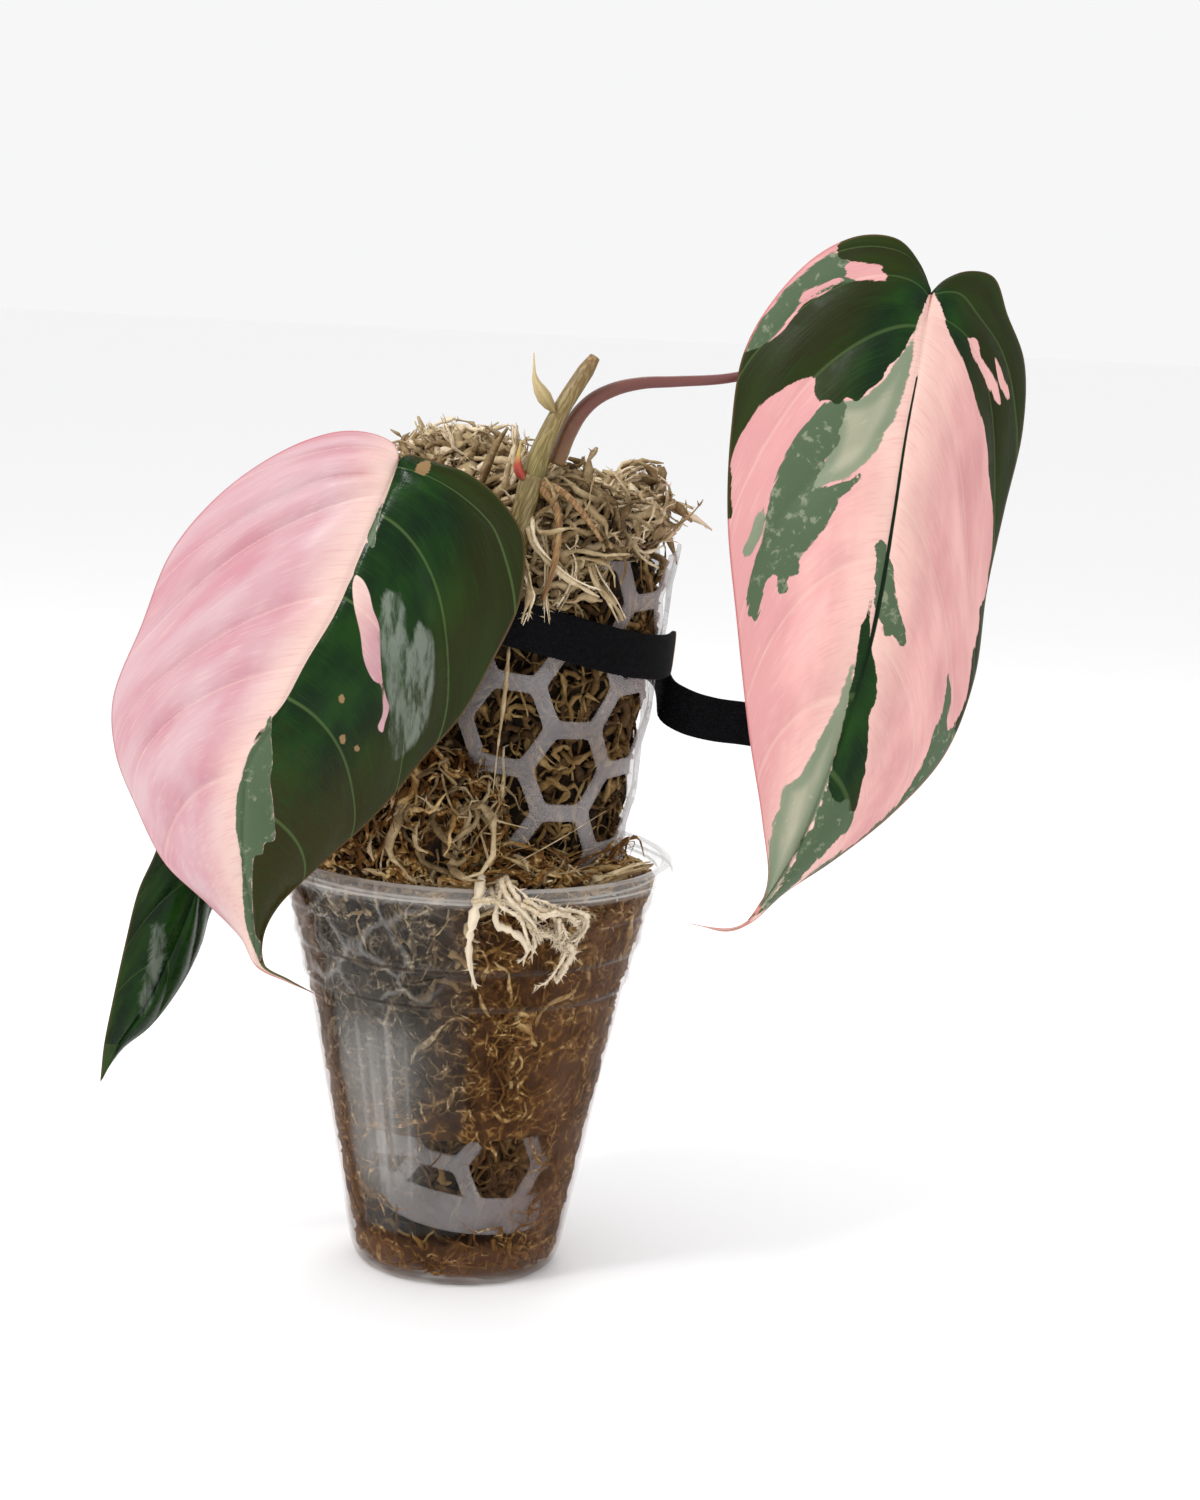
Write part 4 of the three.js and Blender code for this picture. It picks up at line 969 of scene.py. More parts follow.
leftPatches = {
    "sage": [
        [(-43.5, 145.5), (-45, 140.5), (-47.5, 136.5), (-48.5, 134), (-49, 132), (-50.5, 125), (-50.5, 118),
         (-49.5, 111), (-49, 101.5), (-48, 94), (-45.5, 86.5), (-45.5, 90.5), (-46.5, 93.5), (-47, 101),
         (-47, 108.5), (-46.5, 112.5), (-45, 113), (-44.5, 115.5), (-42.5, 116), (-42.5, 121), (-43, 126),
         (-43.5, 130), (-43, 134), (-43.5, 140)],
        [(-22, 190), (-23.5, 186), (-25, 181), (-23.5, 179.5), (-23, 183), (-22.5, 186)],
    ],
    # painted glare: pale patches that stand in for wet highlights on the dark half
    "frost": [
        [(-20.5, 171), (-17.5, 170), (-16.5, 164.5), (-15, 158.5), (-13.5, 164), (-11.5, 163), (-10, 154),
         (-10.5, 147.5), (-11.5, 141.5), (-14, 137), (-17, 134), (-18.5, 139), (-19, 147.5), (-20.5, 156),
         (-21.5, 164.5)],
    ],
    "pink": [
        [(-27, 174), (-25.5, 173), (-24, 170.5), (-23, 167), (-21.5, 163.5), (-21, 156), (-20.5, 151.5),
         (-19.5, 147.5), (-19, 146.5), (-20, 142.5), (-20.5, 140.5), (-21.5, 141.5), (-20.5, 144.5),
         (-20.5, 147.5), (-21, 151), (-22.5, 152), (-24.5, 156), (-25.5, 162), (-27, 167.5), (-27.5, 172)],
    ],
    "bite": [
        [(-15.6, 196), (-14.6, 197.6), (-12.4, 198.2), (-12.2, 196.6), (-13.4, 195.2)],
        [(-29.8, 148), (-29, 149), (-28.3, 148), (-29, 147)],
        [(-29.2, 139.4), (-28.4, 140.2), (-27.8, 138.4), (-28.6, 137.4)],
        [(-26.2, 137), (-25.4, 137.8), (-24.9, 136.8), (-25.6, 136)],
    ],
}

backPatches = {
    # painted glare: pale strips that stand in for highlights on the dark leaf
    "frost": [
        [(-74, 84), (-72.6, 85), (-71.6, 78), (-73.6, 68), (-76.6, 61), (-77, 66), (-75, 74)],
        [(-63, 112), (-61.6, 113), (-60.6, 104), (-62.4, 97), (-63.4, 103)],
    ],
}

patchKinds = ("dark", "sage", "pale", "frost", "bite", "pink")


def fieldsFrom(patches, ground):
    # The distance field of a colour is the largest of its outlines; pink outlines cut the others, sage
    # ones cut a dark ground, and the hairline is a width given at heights along the midrib
    def fields(point, r, fromRib):
        x, z = point[..., 0], point[..., 2]
        found = {}
        for kind in patchKinds:
            layers = [patchDistance(x, z, outline) for outline in patches.get(kind, [])]
            found[kind] = np.max(layers, 0) if layers else np.full(x.shape, -patchReach)
        if ground is not None:
            found["dark"] = np.minimum(ground(r, fromRib, z), -found["sage"])
        cut = found.pop("pink")
        for kind in ("dark", "sage", "pale"):
            found[kind] = np.minimum(found[kind], -cut)
        heights, halves = np.array(patches.get("hairline", [(0, -1), (1, -1)]), float).T
        found["line"] = np.interp(z, heights, halves) - fromRib
        return found

    return fields


leafTints = {
    "pinkLight": colour(234, 180, 174),
    "pinkDeep": colour(206, 146, 146),
    "coolLight": colour(200, 168, 172),
    "coolDeep": colour(190, 132, 142),
    "cream": colour(230, 200, 184),
    "dark": colour(8, 32, 10),
    "darkLight": colour(26, 62, 12),
    "olive": colour(44, 40, 2),
    "vein": colour(80, 102, 56),
    "sage": colour(78, 96, 70),
    "sageLight": colour(136, 142, 118),
    "pale": colour(142, 148, 124),
    "paleLight": colour(170, 166, 144),
    "paleGreen": colour(104, 122, 96),
    # colour of the painted glare
    "frost": colour(118, 126, 114),
    "rim": colour(186, 96, 92),
    "rimDark": colour(104, 76, 48),
    "bite": colour(140, 112, 76),
    "underPink": colour(214, 164, 154),
    "underGreen": colour(90, 88, 66),
    "underRib": colour(190, 120, 104),
}


def grey(value):
    # The same value in all three channels, for a roughness that is mixed like a colour
    return (value, value, value, 1.0)


def leafFinish(name, look):
    # Patches by their distance fields, made ragged along the fine veins, on a ground of pink and cream
    finish = Finish(name, Roughness=0.4, IOR=1.45)
    finish.set("Specular IOR Level", 0.16)
    finish.set("Sheen Weight", 0.02)
    finish.set("Sheen Roughness", 0.35)
    where = finish.place()
    label, r, t = finish.read("label"), finish.read("r"), finish.read("t")
    reach = finish.math('ABSOLUTE', r)

    def veined(along, across, detail=3.0, roughness=0.5):
        # noise that is drawn out along the fine veins
        spot = finish.vector(finish.times(label, along), finish.times(reach, across))
        return finish.noise(spot, 1.0, detail, roughness)

    ragged = finish.math('SUBTRACT', veined(60.0, 7.0, 4.0, 0.65), 0.5)
    wide = veined(9.0, 2.5)
    fine = veined(190.0, 9.0, 2.0)
    hair = veined(420.0, 5.0, 1.0)
    vein = finish.math('ABSOLUTE', finish.math('SINE', finish.times(finish.read("between"), math.pi)))
    veinLine = finish.step(vein, 0.02, look["veinWidth"], (1.0, 0.0))

    def within(kind, ragAmount, softness=0.12):
        # 1 inside the patches of a kind, with an edge that the rags push in and out
        return finish.step(finish.scaled(ragged, ragAmount, finish.read(kind)), -softness, softness)

    def blend(amount, below, above, share=1.0):
        return finish.mix(finish.times(amount, share), below, leafTints[above])

    light, deep = look["pinks"]
    ground = finish.mix(finish.step(wide, 0.3, 0.72, (0.0, 0.95)), leafTints[light], leafTints[deep])
    ground = blend(finish.step(r, -0.3, -0.95), ground, deep, look["outerShade"])
    # cream along the midrib is the leaf's own paler rib; on the right leaf the wider band is partly painted
    # light
    ribSide = finish.scaled(ragged, 1.4, finish.read("fromRib"))
    nearRib = finish.step(ribSide, -1.0, look["creamWidth"], (look["cream"], 0.0))
    ground = finish.mix(nearRib, ground, leafTints["cream"])
    ground = blend(finish.step(hair, 0.5, 0.68), ground, deep, look["hairline"])
    ground = blend(finish.step(fine, 0.52, 0.75), ground, "cream", 0.22)
    ground = blend(veinLine, ground, "cream", look["veinOnPink"])

    pale = blend(finish.step(wide, 0.35, 0.7), leafTints["pale"], "paleLight")
    pale = blend(finish.step(fine, 0.6, 0.8), pale, "cream", 0.3)
    pale = blend(finish.step(finish.read("pale"), 3.2, 1.2), pale, "paleGreen", look["paleEdge"])
    result = finish.mix(within("pale", 2.5, 0.25), ground, pale)
    specks = finish.step(finish.noise(finish.warped(where, 120.0, 0.004), 330.0, 4.0, 0.65), 0.56, 0.66)
    sage = blend(specks, leafTints["sage"], "sageLight", 0.75)
    result = finish.mix(within("sage", look["sageRag"]), result, sage)

    dark = finish.mix(finish.step(wide, 0.35, 0.72), leafTints["dark"], leafTints["darkLight"])
    dark = blend(finish.step(reach, *look["oliveAcross"]), dark, "olive", look["oliveShare"])
    lower = finish.step(finish.scaled(ragged, 0.2, t), *look["oliveFrom"])
    dark = blend(lower, dark, "olive", 0.9)
    dark = blend(finish.step(hair, 0.5, 0.7), dark, "darkLight", 0.35)
    dark = blend(veinLine, dark, "vein", look["veinLight"])
    result = finish.mix(within("dark", look["darkRag"]), result, dark)
    result = finish.mix(within("line", 0.2), result, leafTints["dark"])

    # painted glare: pale mottled streaks, drawn out upwards, fill the glare patches
    x, _, z = finish.axes(where)
    drawn = finish.vector(finish.times(x, 520.0), finish.times(z, 90.0))
    mottled = finish.step(finish.noise(drawn, 1.0, 5.0, 0.65), 0.36, 0.58, (0.1, 0.85))
    result = blend(finish.times(within("frost", 3.5, 0.7), mottled), result, "frost")
    result = finish.mix(within("bite", 1.5), result, leafTints["bite"])
    isDark = finish.math('MAXIMUM', within("dark", 0.5), within("frost", 0.5))
    edge = finish.mix(isDark, leafTints["rim"], leafTints["rimDark"])
    result = finish.mix(finish.step(finish.read("fromEdge"), 0.2, 0.7, (look["rim"], 0.0)), result, edge)
    back = finish.mix(isDark, leafTints["underPink"], leafTints["underGreen"])
    onRib = finish.step(finish.read("fromRib"), 0.3, 1.4, (0.7, 0.0))
    back = finish.mix(onRib, back, leafTints["underRib"])
    result = finish.mix(finish.step(finish.read("under"), 0.4, 0.6), result, back)
    finish.set("Base Color", result)

    wet = finish.step(finish.noise(where, 95.0, 3.0, 0.6), 0.42, 0.6)
    shine = finish.mix(wet, grey(look["darkRough"] + 0.14), grey(look["darkRough"]))
    finish.set("Roughness", finish.mix(isDark, grey(look["pinkRough"]), shine))
    micro = finish.noise(where, 1300.0, 2.0)
    pebble = finish.noise(where, 420.0, 2.0)
    height = finish.scaled(micro, 0.35, finish.times(fine, 0.9))
    height = finish.scaled(hair, look["ripple"], height)
    height = finish.scaled(finish.times(pebble, isDark), look["pebble"], height)
    height = finish.scaled(finish.step(vein, 0.0, 0.3), look["veinDepth"], height)
    finish.bump(height, 0.45, 0.14)
    return finish.material


plainLook = {
    "pinks": ("pinkLight", "pinkDeep"), "outerShade": 0.0, "cream": 0.5, "creamWidth": 6.0,
    "hairline": 0.2, "sageRag": 1.0, "paleEdge": 0.0, "darkRag": 0.2,
    "oliveAcross": (0.5, 0.9), "oliveShare": 0.2, "oliveFrom": (2.0, 3.0),
    "veinWidth": 0.08, "veinLight": 0.35, "veinOnPink": 0.3, "veinDepth": 1.0,
    "rim": 0.3, "pinkRough": 0.4, "darkRough": 0.2, "ripple": 0.3, "pebble": 1.0,
}
leafLooks = {
    # the cream band along the midrib is widened here, partly as painted light on the rib's right side
    "leaf_right": plainLook | {
        "outerShade": 0.9, "cream": 0.6, "creamWidth": 15.0, "hairline": 0.3, "sageRag": 3.0,
        "paleEdge": 0.6, "darkRag": 1.6, "oliveAcross": (0.25, 0.55), "oliveShare": 0.55,
        "veinWidth": 0.10, "veinLight": 0.45, "veinOnPink": 0.25, "rim": 0.5, "pinkRough": 0.46,
        "darkRough": 0.38, "ripple": 0.35, "pebble": 0.4},
    "leaf_left": plainLook | {
        "pinks": ("coolLight", "coolDeep"), "cream": 0.8, "creamWidth": 13.0, "hairline": 0.22,
        "darkRag": 0.12, "oliveAcross": (0.4, 0.75), "oliveShare": 0.6, "oliveFrom": (0.50, 0.68),
        "veinWidth": 0.07, "veinLight": 0.6, "veinOnPink": 0.22, "veinDepth": 1.4, "rim": 0.6,
        "pinkRough": 0.34, "darkRough": 0.17, "pebble": 1.6},
    "leaf_back": plainLook,
}


def leftGround(r, fromRib, z):
    # One half is dark, and its edge swings off the midrib a little in the lower middle
    return np.where(r < 0, -fromRib, fromRib) - 0.2 + 2.4 * np.exp(-((z - 139.5) / 5) ** 2)


def darkGround(r, fromRib, z):
    # Dark all over; it takes the same values as the other ground
    return np.full(r.shape, patchReach)


leafGrounds = {
    # patches, ground and how coarse the grid is
    "leaf_right": (rightPatches, None, 1),
    "leaf_left": (leftPatches, leftGround, 1),
    "leaf_back": (backPatches, darkGround, 2),
}

for leafName, leaf in leaves.items():
    patches, ground, coarse = leafGrounds[leafName]
    surface = leafSurface(leaf, fieldsFrom(patches, ground), coarse)
    finish = leafFinish(f"{leafName}_finish", leafLooks[leafName])
    makePiece(f"{leafName}_blade", surface, finish, [leafName])
print("leaves ready")

# Stem, stub, roots, stalks, bud and bract

stemRoute = [  # turn round the pole, height and distance from the cone
    (-70, 84, 3.8), (-60, 100, 3.9), (-45, 116, 4), (-28, 132, 4), (-14, 148, 3.9), (-7.5, 161, 3.8)]
stems = {
    "stem": [
        {"points": [*[besidePole(*place) for place in stemRoute], (8.1, -51, 187), (9.9, -50.6, 195.6)],
         "radii": [2.5, 2.6, 2.6, 2.6, 2.6, 2.5, 2.3, 2.7], "rows": 120, "kind": 0.35},
        {"points": [(9.6, -50.6, 193.4), (11, -50.4, 199.4), (12.9, -50, 204.6), (15.9, -48.8, 210.8),
                    (22.4, -45.8, 221.6)],
         "radii": [2.4, 2.5, 2.3, 2.1, 2.0, 1.9, 1.9, 1.85, 1.8, 1.2], "rows": 60, "kind": 1.0},
        {"points": [(11, -51, 194), (15.4, -52.4, 188.6), (15.8, -53, 179), (13.4, -53.4, 169)],
         "radii": [1.2, 0.85, 0.75, 0.4], "rows": 40, "kind": 0.1},
        {"points": [(11, -51, 194.4), (17, -52.6, 192), (22.4, -51.8, 186.4), (25.6, -50.4, 182)],
         "radii": [1.2, 0.8, 0.7, 0.4], "rows": 40, "kind": 0.1},
    ],
    "petiole_right": [
        {"points": [(15, -47.4, 198), (17.4, -46.4, 205), (19.6, -45.4, 209), (22.9, -44.2, 212.4),
                    (27.7, -42.5, 214.9), (33.5, -40.5, 216.3), (40.7, -39, 216.9), (53.1, -38.5, 218.3),
                    (68.1, -38.5, 222.9), (83, -40, 230.2), (94.3, -44.7, 238.1)],
         "radii": [1.8, 1.9, 1.6, 1.35, 1.2, 1.1, 1.05, 1.0, 1.0, 1.05, 1.1], "rows": 120, "kind": 0.0},
    ],
    "petiole_left": [
        {"points": [(3.5, -52.2, 174.1), (-2, -53.2, 181), (-9, -54.2, 190.5), (-18.1, -57.1, 197.5)],
         "radii": [1.7, 1.5, 1.4, 1.3], "rows": 50, "kind": 0.0},
    ],
    "petiole_back": [
        {"points": [(-25.8, -24.5, 117.1), (-28.4, -24.6, 121.4), (-34.6, -26.4, 131.5), (-45, -22, 141),
                    (-51.4, -17.8, 142.6), (-55.2, -15.8, 140.7)],
         "radii": [1.6, 1.5, 1.35, 1.2, 1.15], "rows": 70, "kind": 0.0},
    ],
    "bud": [
        {"points": [(8.4, -51.8, 194.4), (6.7, -53, 197), (6.6, -53.4, 199.6), (7, -53.2, 203)],
         "radii": [0.6, 1.05, 1.0, 0.6, 0.35, 0.15], "rows": 30, "kind": 0.0},
    ],
    "bract": [
        {"points": [(14.2, -50.2, 209.4), (11.8, -51.3, 212.6), (9.6, -51, 216.4), (9.1, -50.8, 220.4),
                    (9, -50.6, 222)],
         "radii": [0.4, 1.1, 1.4, 1.2, 0.7, 0.3, 0.2, 0.12], "rows": 50, "kind": 0.0},
    ],
}

tube = {"sides": 20, "samples": 400, "endShares": (0.02, 0.7), "reference": (0.3, 1.0, 0.2)}


def tubeSurface(plan, ridges, depth):
    # A round section carried along the smooth path; its radius is read between the given ones and
    # waves round the section once for each ridge
    rows, sides = plan["rows"], tube["sides"]
    path = evenly(curveThrough(plan["points"], tube["samples"]), rows)
    share = np.linspace(0, 1, rows)
    radius = np.interp(share, np.linspace(0, 1, len(plan["radii"])), plan["radii"])
    turn = np.linspace(0, 2 * np.pi, sides, endpoint=False)
    reach = radius[:, None] * (1 + depth * np.cos(ridges * turn))
    frames = crossFrames(path, np.array(tube["reference"]))
    ring = carried(path, *frames, reach * np.cos(turn), reach * np.sin(turn), tube["endShares"])
    along = np.repeat(np.concatenate([[0, 0], share, [1, 1]]), sides)
    return ring.reshape(-1, 3), gridFaces(rows + 4, sides, True), {"along": along, "kind": plan["kind"]}


def stalkFinish(name, stops, gloss, streakScale):
    # Colour read along the piece, pushed up and down it by a noise
    finish = Finish(name, Roughness=gloss, IOR=1.45)
    streak = finish.noise(finish.place(), streakScale, 5.0, 0.6)
    finish.set("Base Color", finish.ramp(finish.swung(streak, 0.35, finish.read("along")), stops))
    finish.bump(streak, 0.4, 0.2)
    return finish.material


stemTints = {
    "stub": [(0.0, colour(98, 92, 38)), (0.35, colour(116, 98, 50)), (0.9, colour(112, 88, 50)),
             (0.985, colour(122, 86, 54))],
    "stem": [(0.3, colour(92, 76, 42)), (0.7, colour(134, 118, 70))],
    "root": [(0.3, colour(104, 70, 40)), (0.7, colour(156, 112, 66))],
    "ridge": colour(172, 154, 106),
}


def stemFinish():
    # The green stub above the node, the brownish stem below it and the pale brown roots, told apart by
    # `kind`; light ridges run with the piece, so the noise is drawn out along it
    finish = Finish("stem_finish", Roughness=0.45, IOR=1.45)
    kind, along = finish.read("kind"), finish.read("along")
    x, y, z = finish.axes(finish.place())
    drawn = finish.vector(finish.scaled(z, -0.4, x), y, finish.times(z, 0.05))
    streak = finish.noise(drawn, 1900.0, 3.0, 0.6)
    root = finish.ramp(streak, stemTints["root"])
    low = finish.mix(finish.step(kind, 0.2, 0.3), root, finish.ramp(streak, stemTints["stem"]))
    tint = finish.mix(finish.step(kind, 0.6, 0.9), low, finish.ramp(along, stemTints["stub"]))
    tint = finish.mix(finish.step(streak, 0.45, 0.62, (0.0, 0.45)), tint, stemTints["ridge"])
    finish.set("Base Color", tint)
    finish.bump(streak, 0.4, 0.15)
    return finish.material


petioleStops = [(0.0, colour(116, 84, 50)), (0.15, colour(106, 62, 52)), (0.6, colour(112, 64, 62)),
                (1.0, colour(136, 80, 76))]
petioleLook = {"slot": "petiole", "stops": petioleStops, "gloss": 0.38, "streaks": 500.0, "ridges": (5, 0.03)}
stalkLooks = {
    "petiole_right": petioleLook | {"name": "petiole_finish"},
    "petiole_left": petioleLook | {"name": "petiole_left_finish"},
    "petiole_back": petioleLook | {"name": "petiole_back_finish"},
    "bud": {"slot": "bud", "name": "bud_finish", "gloss": 0.35, "streaks": 700.0, "ridges": (3, 0.08),
            "stops": [(0.0, colour(140, 104, 60)), (0.2, colour(160, 56, 46)), (0.5, colour(172, 72, 54)),
                      (0.7, colour(186, 156, 84))]},
    "bract": {"slot": "bract", "name": "bract_finish", "gloss": 0.8, "streaks": 900.0, "ridges": (3, 0.35),
              "stops": [(0.0, colour(150, 130, 84)), (0.5, colour(184, 164, 120)),
                        (1.0, colour(206, 186, 140))]},
}


def makeStalk(nodeName, material, ridges):
    # All tubes of a node as one piece
    surface = join([tubeSurface(plan, *ridges) for plan in stems[nodeName]])
    makePiece(f"{nodeName}_grown", surface, material, [nodeName], closeWithin=3e-5)


makeStalk("stem", stemFinish(), (9, 0.035))
for nodeName, look in stalkLooks.items():
    finish = stalkFinish(look["name"], look["stops"], look["gloss"], look["streaks"])
    makeStalk(nodeName, finish, look["ridges"])
print("stems ready")

# Strap of napped tape

strap = {
    "width": 10.4,
    "thickness": 1.5,
    "height": 151.2,
    "tilt": 9.3,
    "tailDrop": 7,
    "turns": (82, -254),
    "turnStep": 12.0,
    "tailFrom": 120,
    "overPole": 2.1,
    "overStem": 6.4,
    "stemTurn": -12,
    "bumpSpread": 16,
    "tail": [(44.9, -9.6, 141.4), (48.8, -11.2, 139.2), (55.5, -9, 137.2), (63.7, -6, 136), (71, -5, 135),
             (82, -4, 134)],
    "rows": 260,
    "sides": 36,
    "endShares": (0.02, 0.9),
}


def strapSurface():
    # A flat section with round edges, its cosine and sine raised to small powers, carried round the
    # pole, over the stem in a bell-shaped bump and out to its free tail
    first, last = strap["turns"]
    turn = np.arange(first, last - 1, -strap["turnStep"])
    over = strap["overStem"] * np.exp(-((turn - strap["stemTurn"]) / strap["bumpSpread"]) ** 2)
    toTail = smoothStep(-turn, strap["tailFrom"], -last)
    height = strap["height"] - strap["tilt"] * np.sin(np.radians(turn)) - strap["tailDrop"] * toTail
    knots = np.vstack([besidePole(turn, height, strap["overPole"] + over), strap["tail"]])
    path = evenly(curveThrough(knots, 3000), strap["rows"])
    angle = np.linspace(0, 2 * np.pi, strap["sides"], endpoint=False)
    x = np.sign(np.cos(angle)) * np.abs(np.cos(angle)) ** 0.35 * strap["thickness"] / 2
    y = np.sign(np.sin(angle)) * np.abs(np.sin(angle)) ** 0.6 * strap["width"] / 2
    sections = (np.tile(offset, (len(path), 1)) for offset in (x, y))
    frames = crossFrames(path, unit(pole["top"] - pole["foot"]))
    ring = carried(path, *frames, *sections, strap["endShares"])
    values = {"along": np.repeat(np.pad(lengthAlong(path), 2, 'edge'), len(angle)),
              "across": np.tile(y, len(ring))}
    return ring.reshape(-1, 3), gridFaces(len(ring), len(angle), True), values


def napTape():
    # Black nap on a weave, the sine across times the sine along, with a tan cut end
    finish = Finish("tape_nap", Roughness=0.85, IOR=1.4)
    finish.set("Specular IOR Level", 0.12)
    along, across = finish.read("along"), finish.read("across")
    rib = finish.math('SINE', finish.times(across, 9.0))
    cross = finish.math('SINE', finish.times(along, 8.0))
    nap = finish.noise(finish.place(), 1400.0)
    tint = finish.ramp(nap, [(0.35, colour(3, 3, 4)), (0.7, colour(14, 14, 18))])
    finish.set("Base Color", finish.mix(finish.step(along, 1.2, 0.4), tint, colour(150, 122, 88)))
    finish.bump(finish.scaled(nap, 1.2, finish.times(rib, cross)), 0.5, 0.22)
    return finish.material


makePiece("strap_tape", strapSurface(), napTape(), ["strap"])
print("strap ready")

# Moss: dark lumpy cores covered with curled strands

draw = np.random.default_rng(5697)


def waveOf(count, low, high, share):
    # A sine along each strand, with a pace and a start of its own
    pace = draw.uniform(low, high, (count, 1))
    return np.sin(2 * np.pi * pace * share + draw.uniform(0, 6.3, (count, 1)))


strandShape = {
    "lengths": (0.4, 1.5),  # least and most, as shares of the length asked for
    "swings": ((0.7, 0.4, 1.2), (0.4, 1.5, 3)),  # how far the heading swings, least and most waves
    "liftWaves": (0.4, 1.1),
    "rises": (-0.3, 1),
    "sizeSpread": 0.35,
    "sizeLimit": 1.8,
    "endTaper": 0.75,
    "twist": 4,
    "spikeLean": 0.9,
    "spikeLengths": (0.6, 1.5),
    "spikeWidth": (0.32, 0.1),  # share of the strand's radius, and what is added to it
    "spikePaler": 0.06,
}


def curledPaths(count, length, coil, lift, rise=0.0, rows=11):
    # The heading of each strand turns steadily and swings like two added waves; equal steps along it
    # add up to the path, and its height over the ground is a wave plus a steady rise
    share = np.linspace(0, 1, rows)[None]
    reach = length * draw.uniform(*strandShape["lengths"], (count, 1))
    heading = draw.uniform(0, 2 * np.pi, (count, 1)) + coil * draw.uniform(-1, 1, (count, 1)) * share
    for far, low, high in strandShape["swings"]:
        heading = heading + far * waveOf(count, low, high, share)
    step = reach / (rows - 1)
    u = np.cumsum(np.cos(heading) * step, 1)
    v = np.cumsum(np.sin(heading) * step, 1)
    w = lift * waveOf(count, *strandShape["liftWaves"], share)
    w = w + rise * draw.uniform(*strandShape["rises"], (count, 1)) * share ** 1.5 * reach
    return np.stack([u - u[:, :1], v - v[:, :1], w], -1)


def ribbonSurface(paths, radius, tone, flat, ragged):
    # Four-sided tapering ribbons along the paths, ragged in width and twisted as they go
    count, rows = paths.shape[:2]
    side, up = crossFrames(paths, unit(draw.normal(size=(count, 1, 3))))
    share = np.linspace(0, 1, rows)
    spread = draw.lognormal(0, strandShape["sizeSpread"], (count, 1))
    size = radius * np.minimum(spread, strandShape["sizeLimit"]) * (1 - strandShape["endTaper"] * share ** 3)
    size = size * draw.uniform(1 - ragged, 1 + ragged, (count, rows))
    most = strandShape["twist"]
    twist = (draw.uniform(-most, most, (count, 1)) * share + draw.uniform(0, 6.3, (count, 1)))[..., None]
    angle = np.arange(4) * np.pi / 2
    broad = np.cos(angle)
    narrow = flat * np.sin(angle)
    x = broad * np.cos(twist) - narrow * np.sin(twist)
    y = broad * np.sin(twist) + narrow * np.cos(twist)
    across = x[..., None] * side[:, :, None] + y[..., None] * up[:, :, None]
    ring = paths[:, :, None] + size[..., None, None] * across
    caps = np.array([[3, 2, 1, 0], [0, 1, 2, 3]]) + np.array([[0], [(rows - 1) * 4]])
    one = np.concatenate([gridFaces(rows, 4, True), caps])
    faces = (one + (np.arange(count) * rows * 4)[:, None, None]).reshape(-1, 4)
    values = {"tone": np.repeat(tone, rows * 4), "along": np.tile(np.repeat(share, 4), count)}
    return ring.reshape(-1, 3), faces, values


def spikeSurface(paths, radius, tone, spikes, length):
    # Small pointed leaves: slim pyramids that lean forward from random rows of each strand
    which = np.repeat(np.arange(len(paths)), spikes)
    count = len(which)
    row = draw.integers(1, paths.shape[1] - 1, count)
    root = paths[which, row]
    ahead = unit(paths[which, row + 1] - paths[which, row - 1])
    way = unit(unit(draw.normal(size=(count, 3))) + strandShape["spikeLean"] * ahead)
    broad = unit(np.cross(way, unit(draw.normal(size=(count, 3)))))
    thin = np.cross(way, broad)
    long = length * draw.uniform(*strandShape["spikeLengths"], (count, 1))
    share, least = strandShape["spikeWidth"]
    width = share * radius * draw.uniform(0.7, 1.2, (count, 1)) + least
    corners = np.stack([root + broad * width, root - broad * width * 0.6 + thin * width * 0.5,
                        root - broad * width * 0.6 - thin * width * 0.5, root + way * long], 1)
    one = np.array([[0, 1, 2], [0, 3, 1], [1, 3, 2], [2, 3, 0]])
    faces = (one + (np.arange(count) * 4)[:, None, None]).reshape(-1, 3)
    values = {"tone": np.repeat(tone[which], 4) + strandShape["spikePaler"], "along": 0.7}
    return corners.reshape(-1, 3), faces, values


def strandSurface(paths, radius, tones, spikes, flat=0.45, spikeLength=1.3, ragged=0.4):
    # Ribbons along the paths, each with a tone of its own, and their small leaves
    tone = draw.uniform(*tones, len(paths))
    parts = [ribbonSurface(paths, radius, tone, flat, ragged)]
    if spikes:
        parts.append(spikeSurface(paths, radius, tone, spikes, spikeLength))
    return join(parts)


def lumps(points, amount, scale, seed):
    # How far the ground is pushed out: crossed waves of the place
    x, y, z = np.moveaxis(np.asarray(points) / scale, -1, 0)
    coarse = np.sin(5.1 * x + seed) * np.sin(4.3 * y + 2 * seed + 0.7 * z)
    fine = np.sin(9.7 * z - 3 * x + seed) * np.sin(8.1 * x + 6.3 * y)
    finest = np.sin(23 * x + 3 * seed) * np.sin(19 * y + 17 * z)
    return amount * (coarse + 0.6 * fine + 0.35 * finest)


# the clods' low tone is painted shade: the gaps between the strands on them read as moss in shade
clod = {"rows": 28, "sides": 44, "size": 0.9, "lump": (0.06, 14), "tone": 0.05}


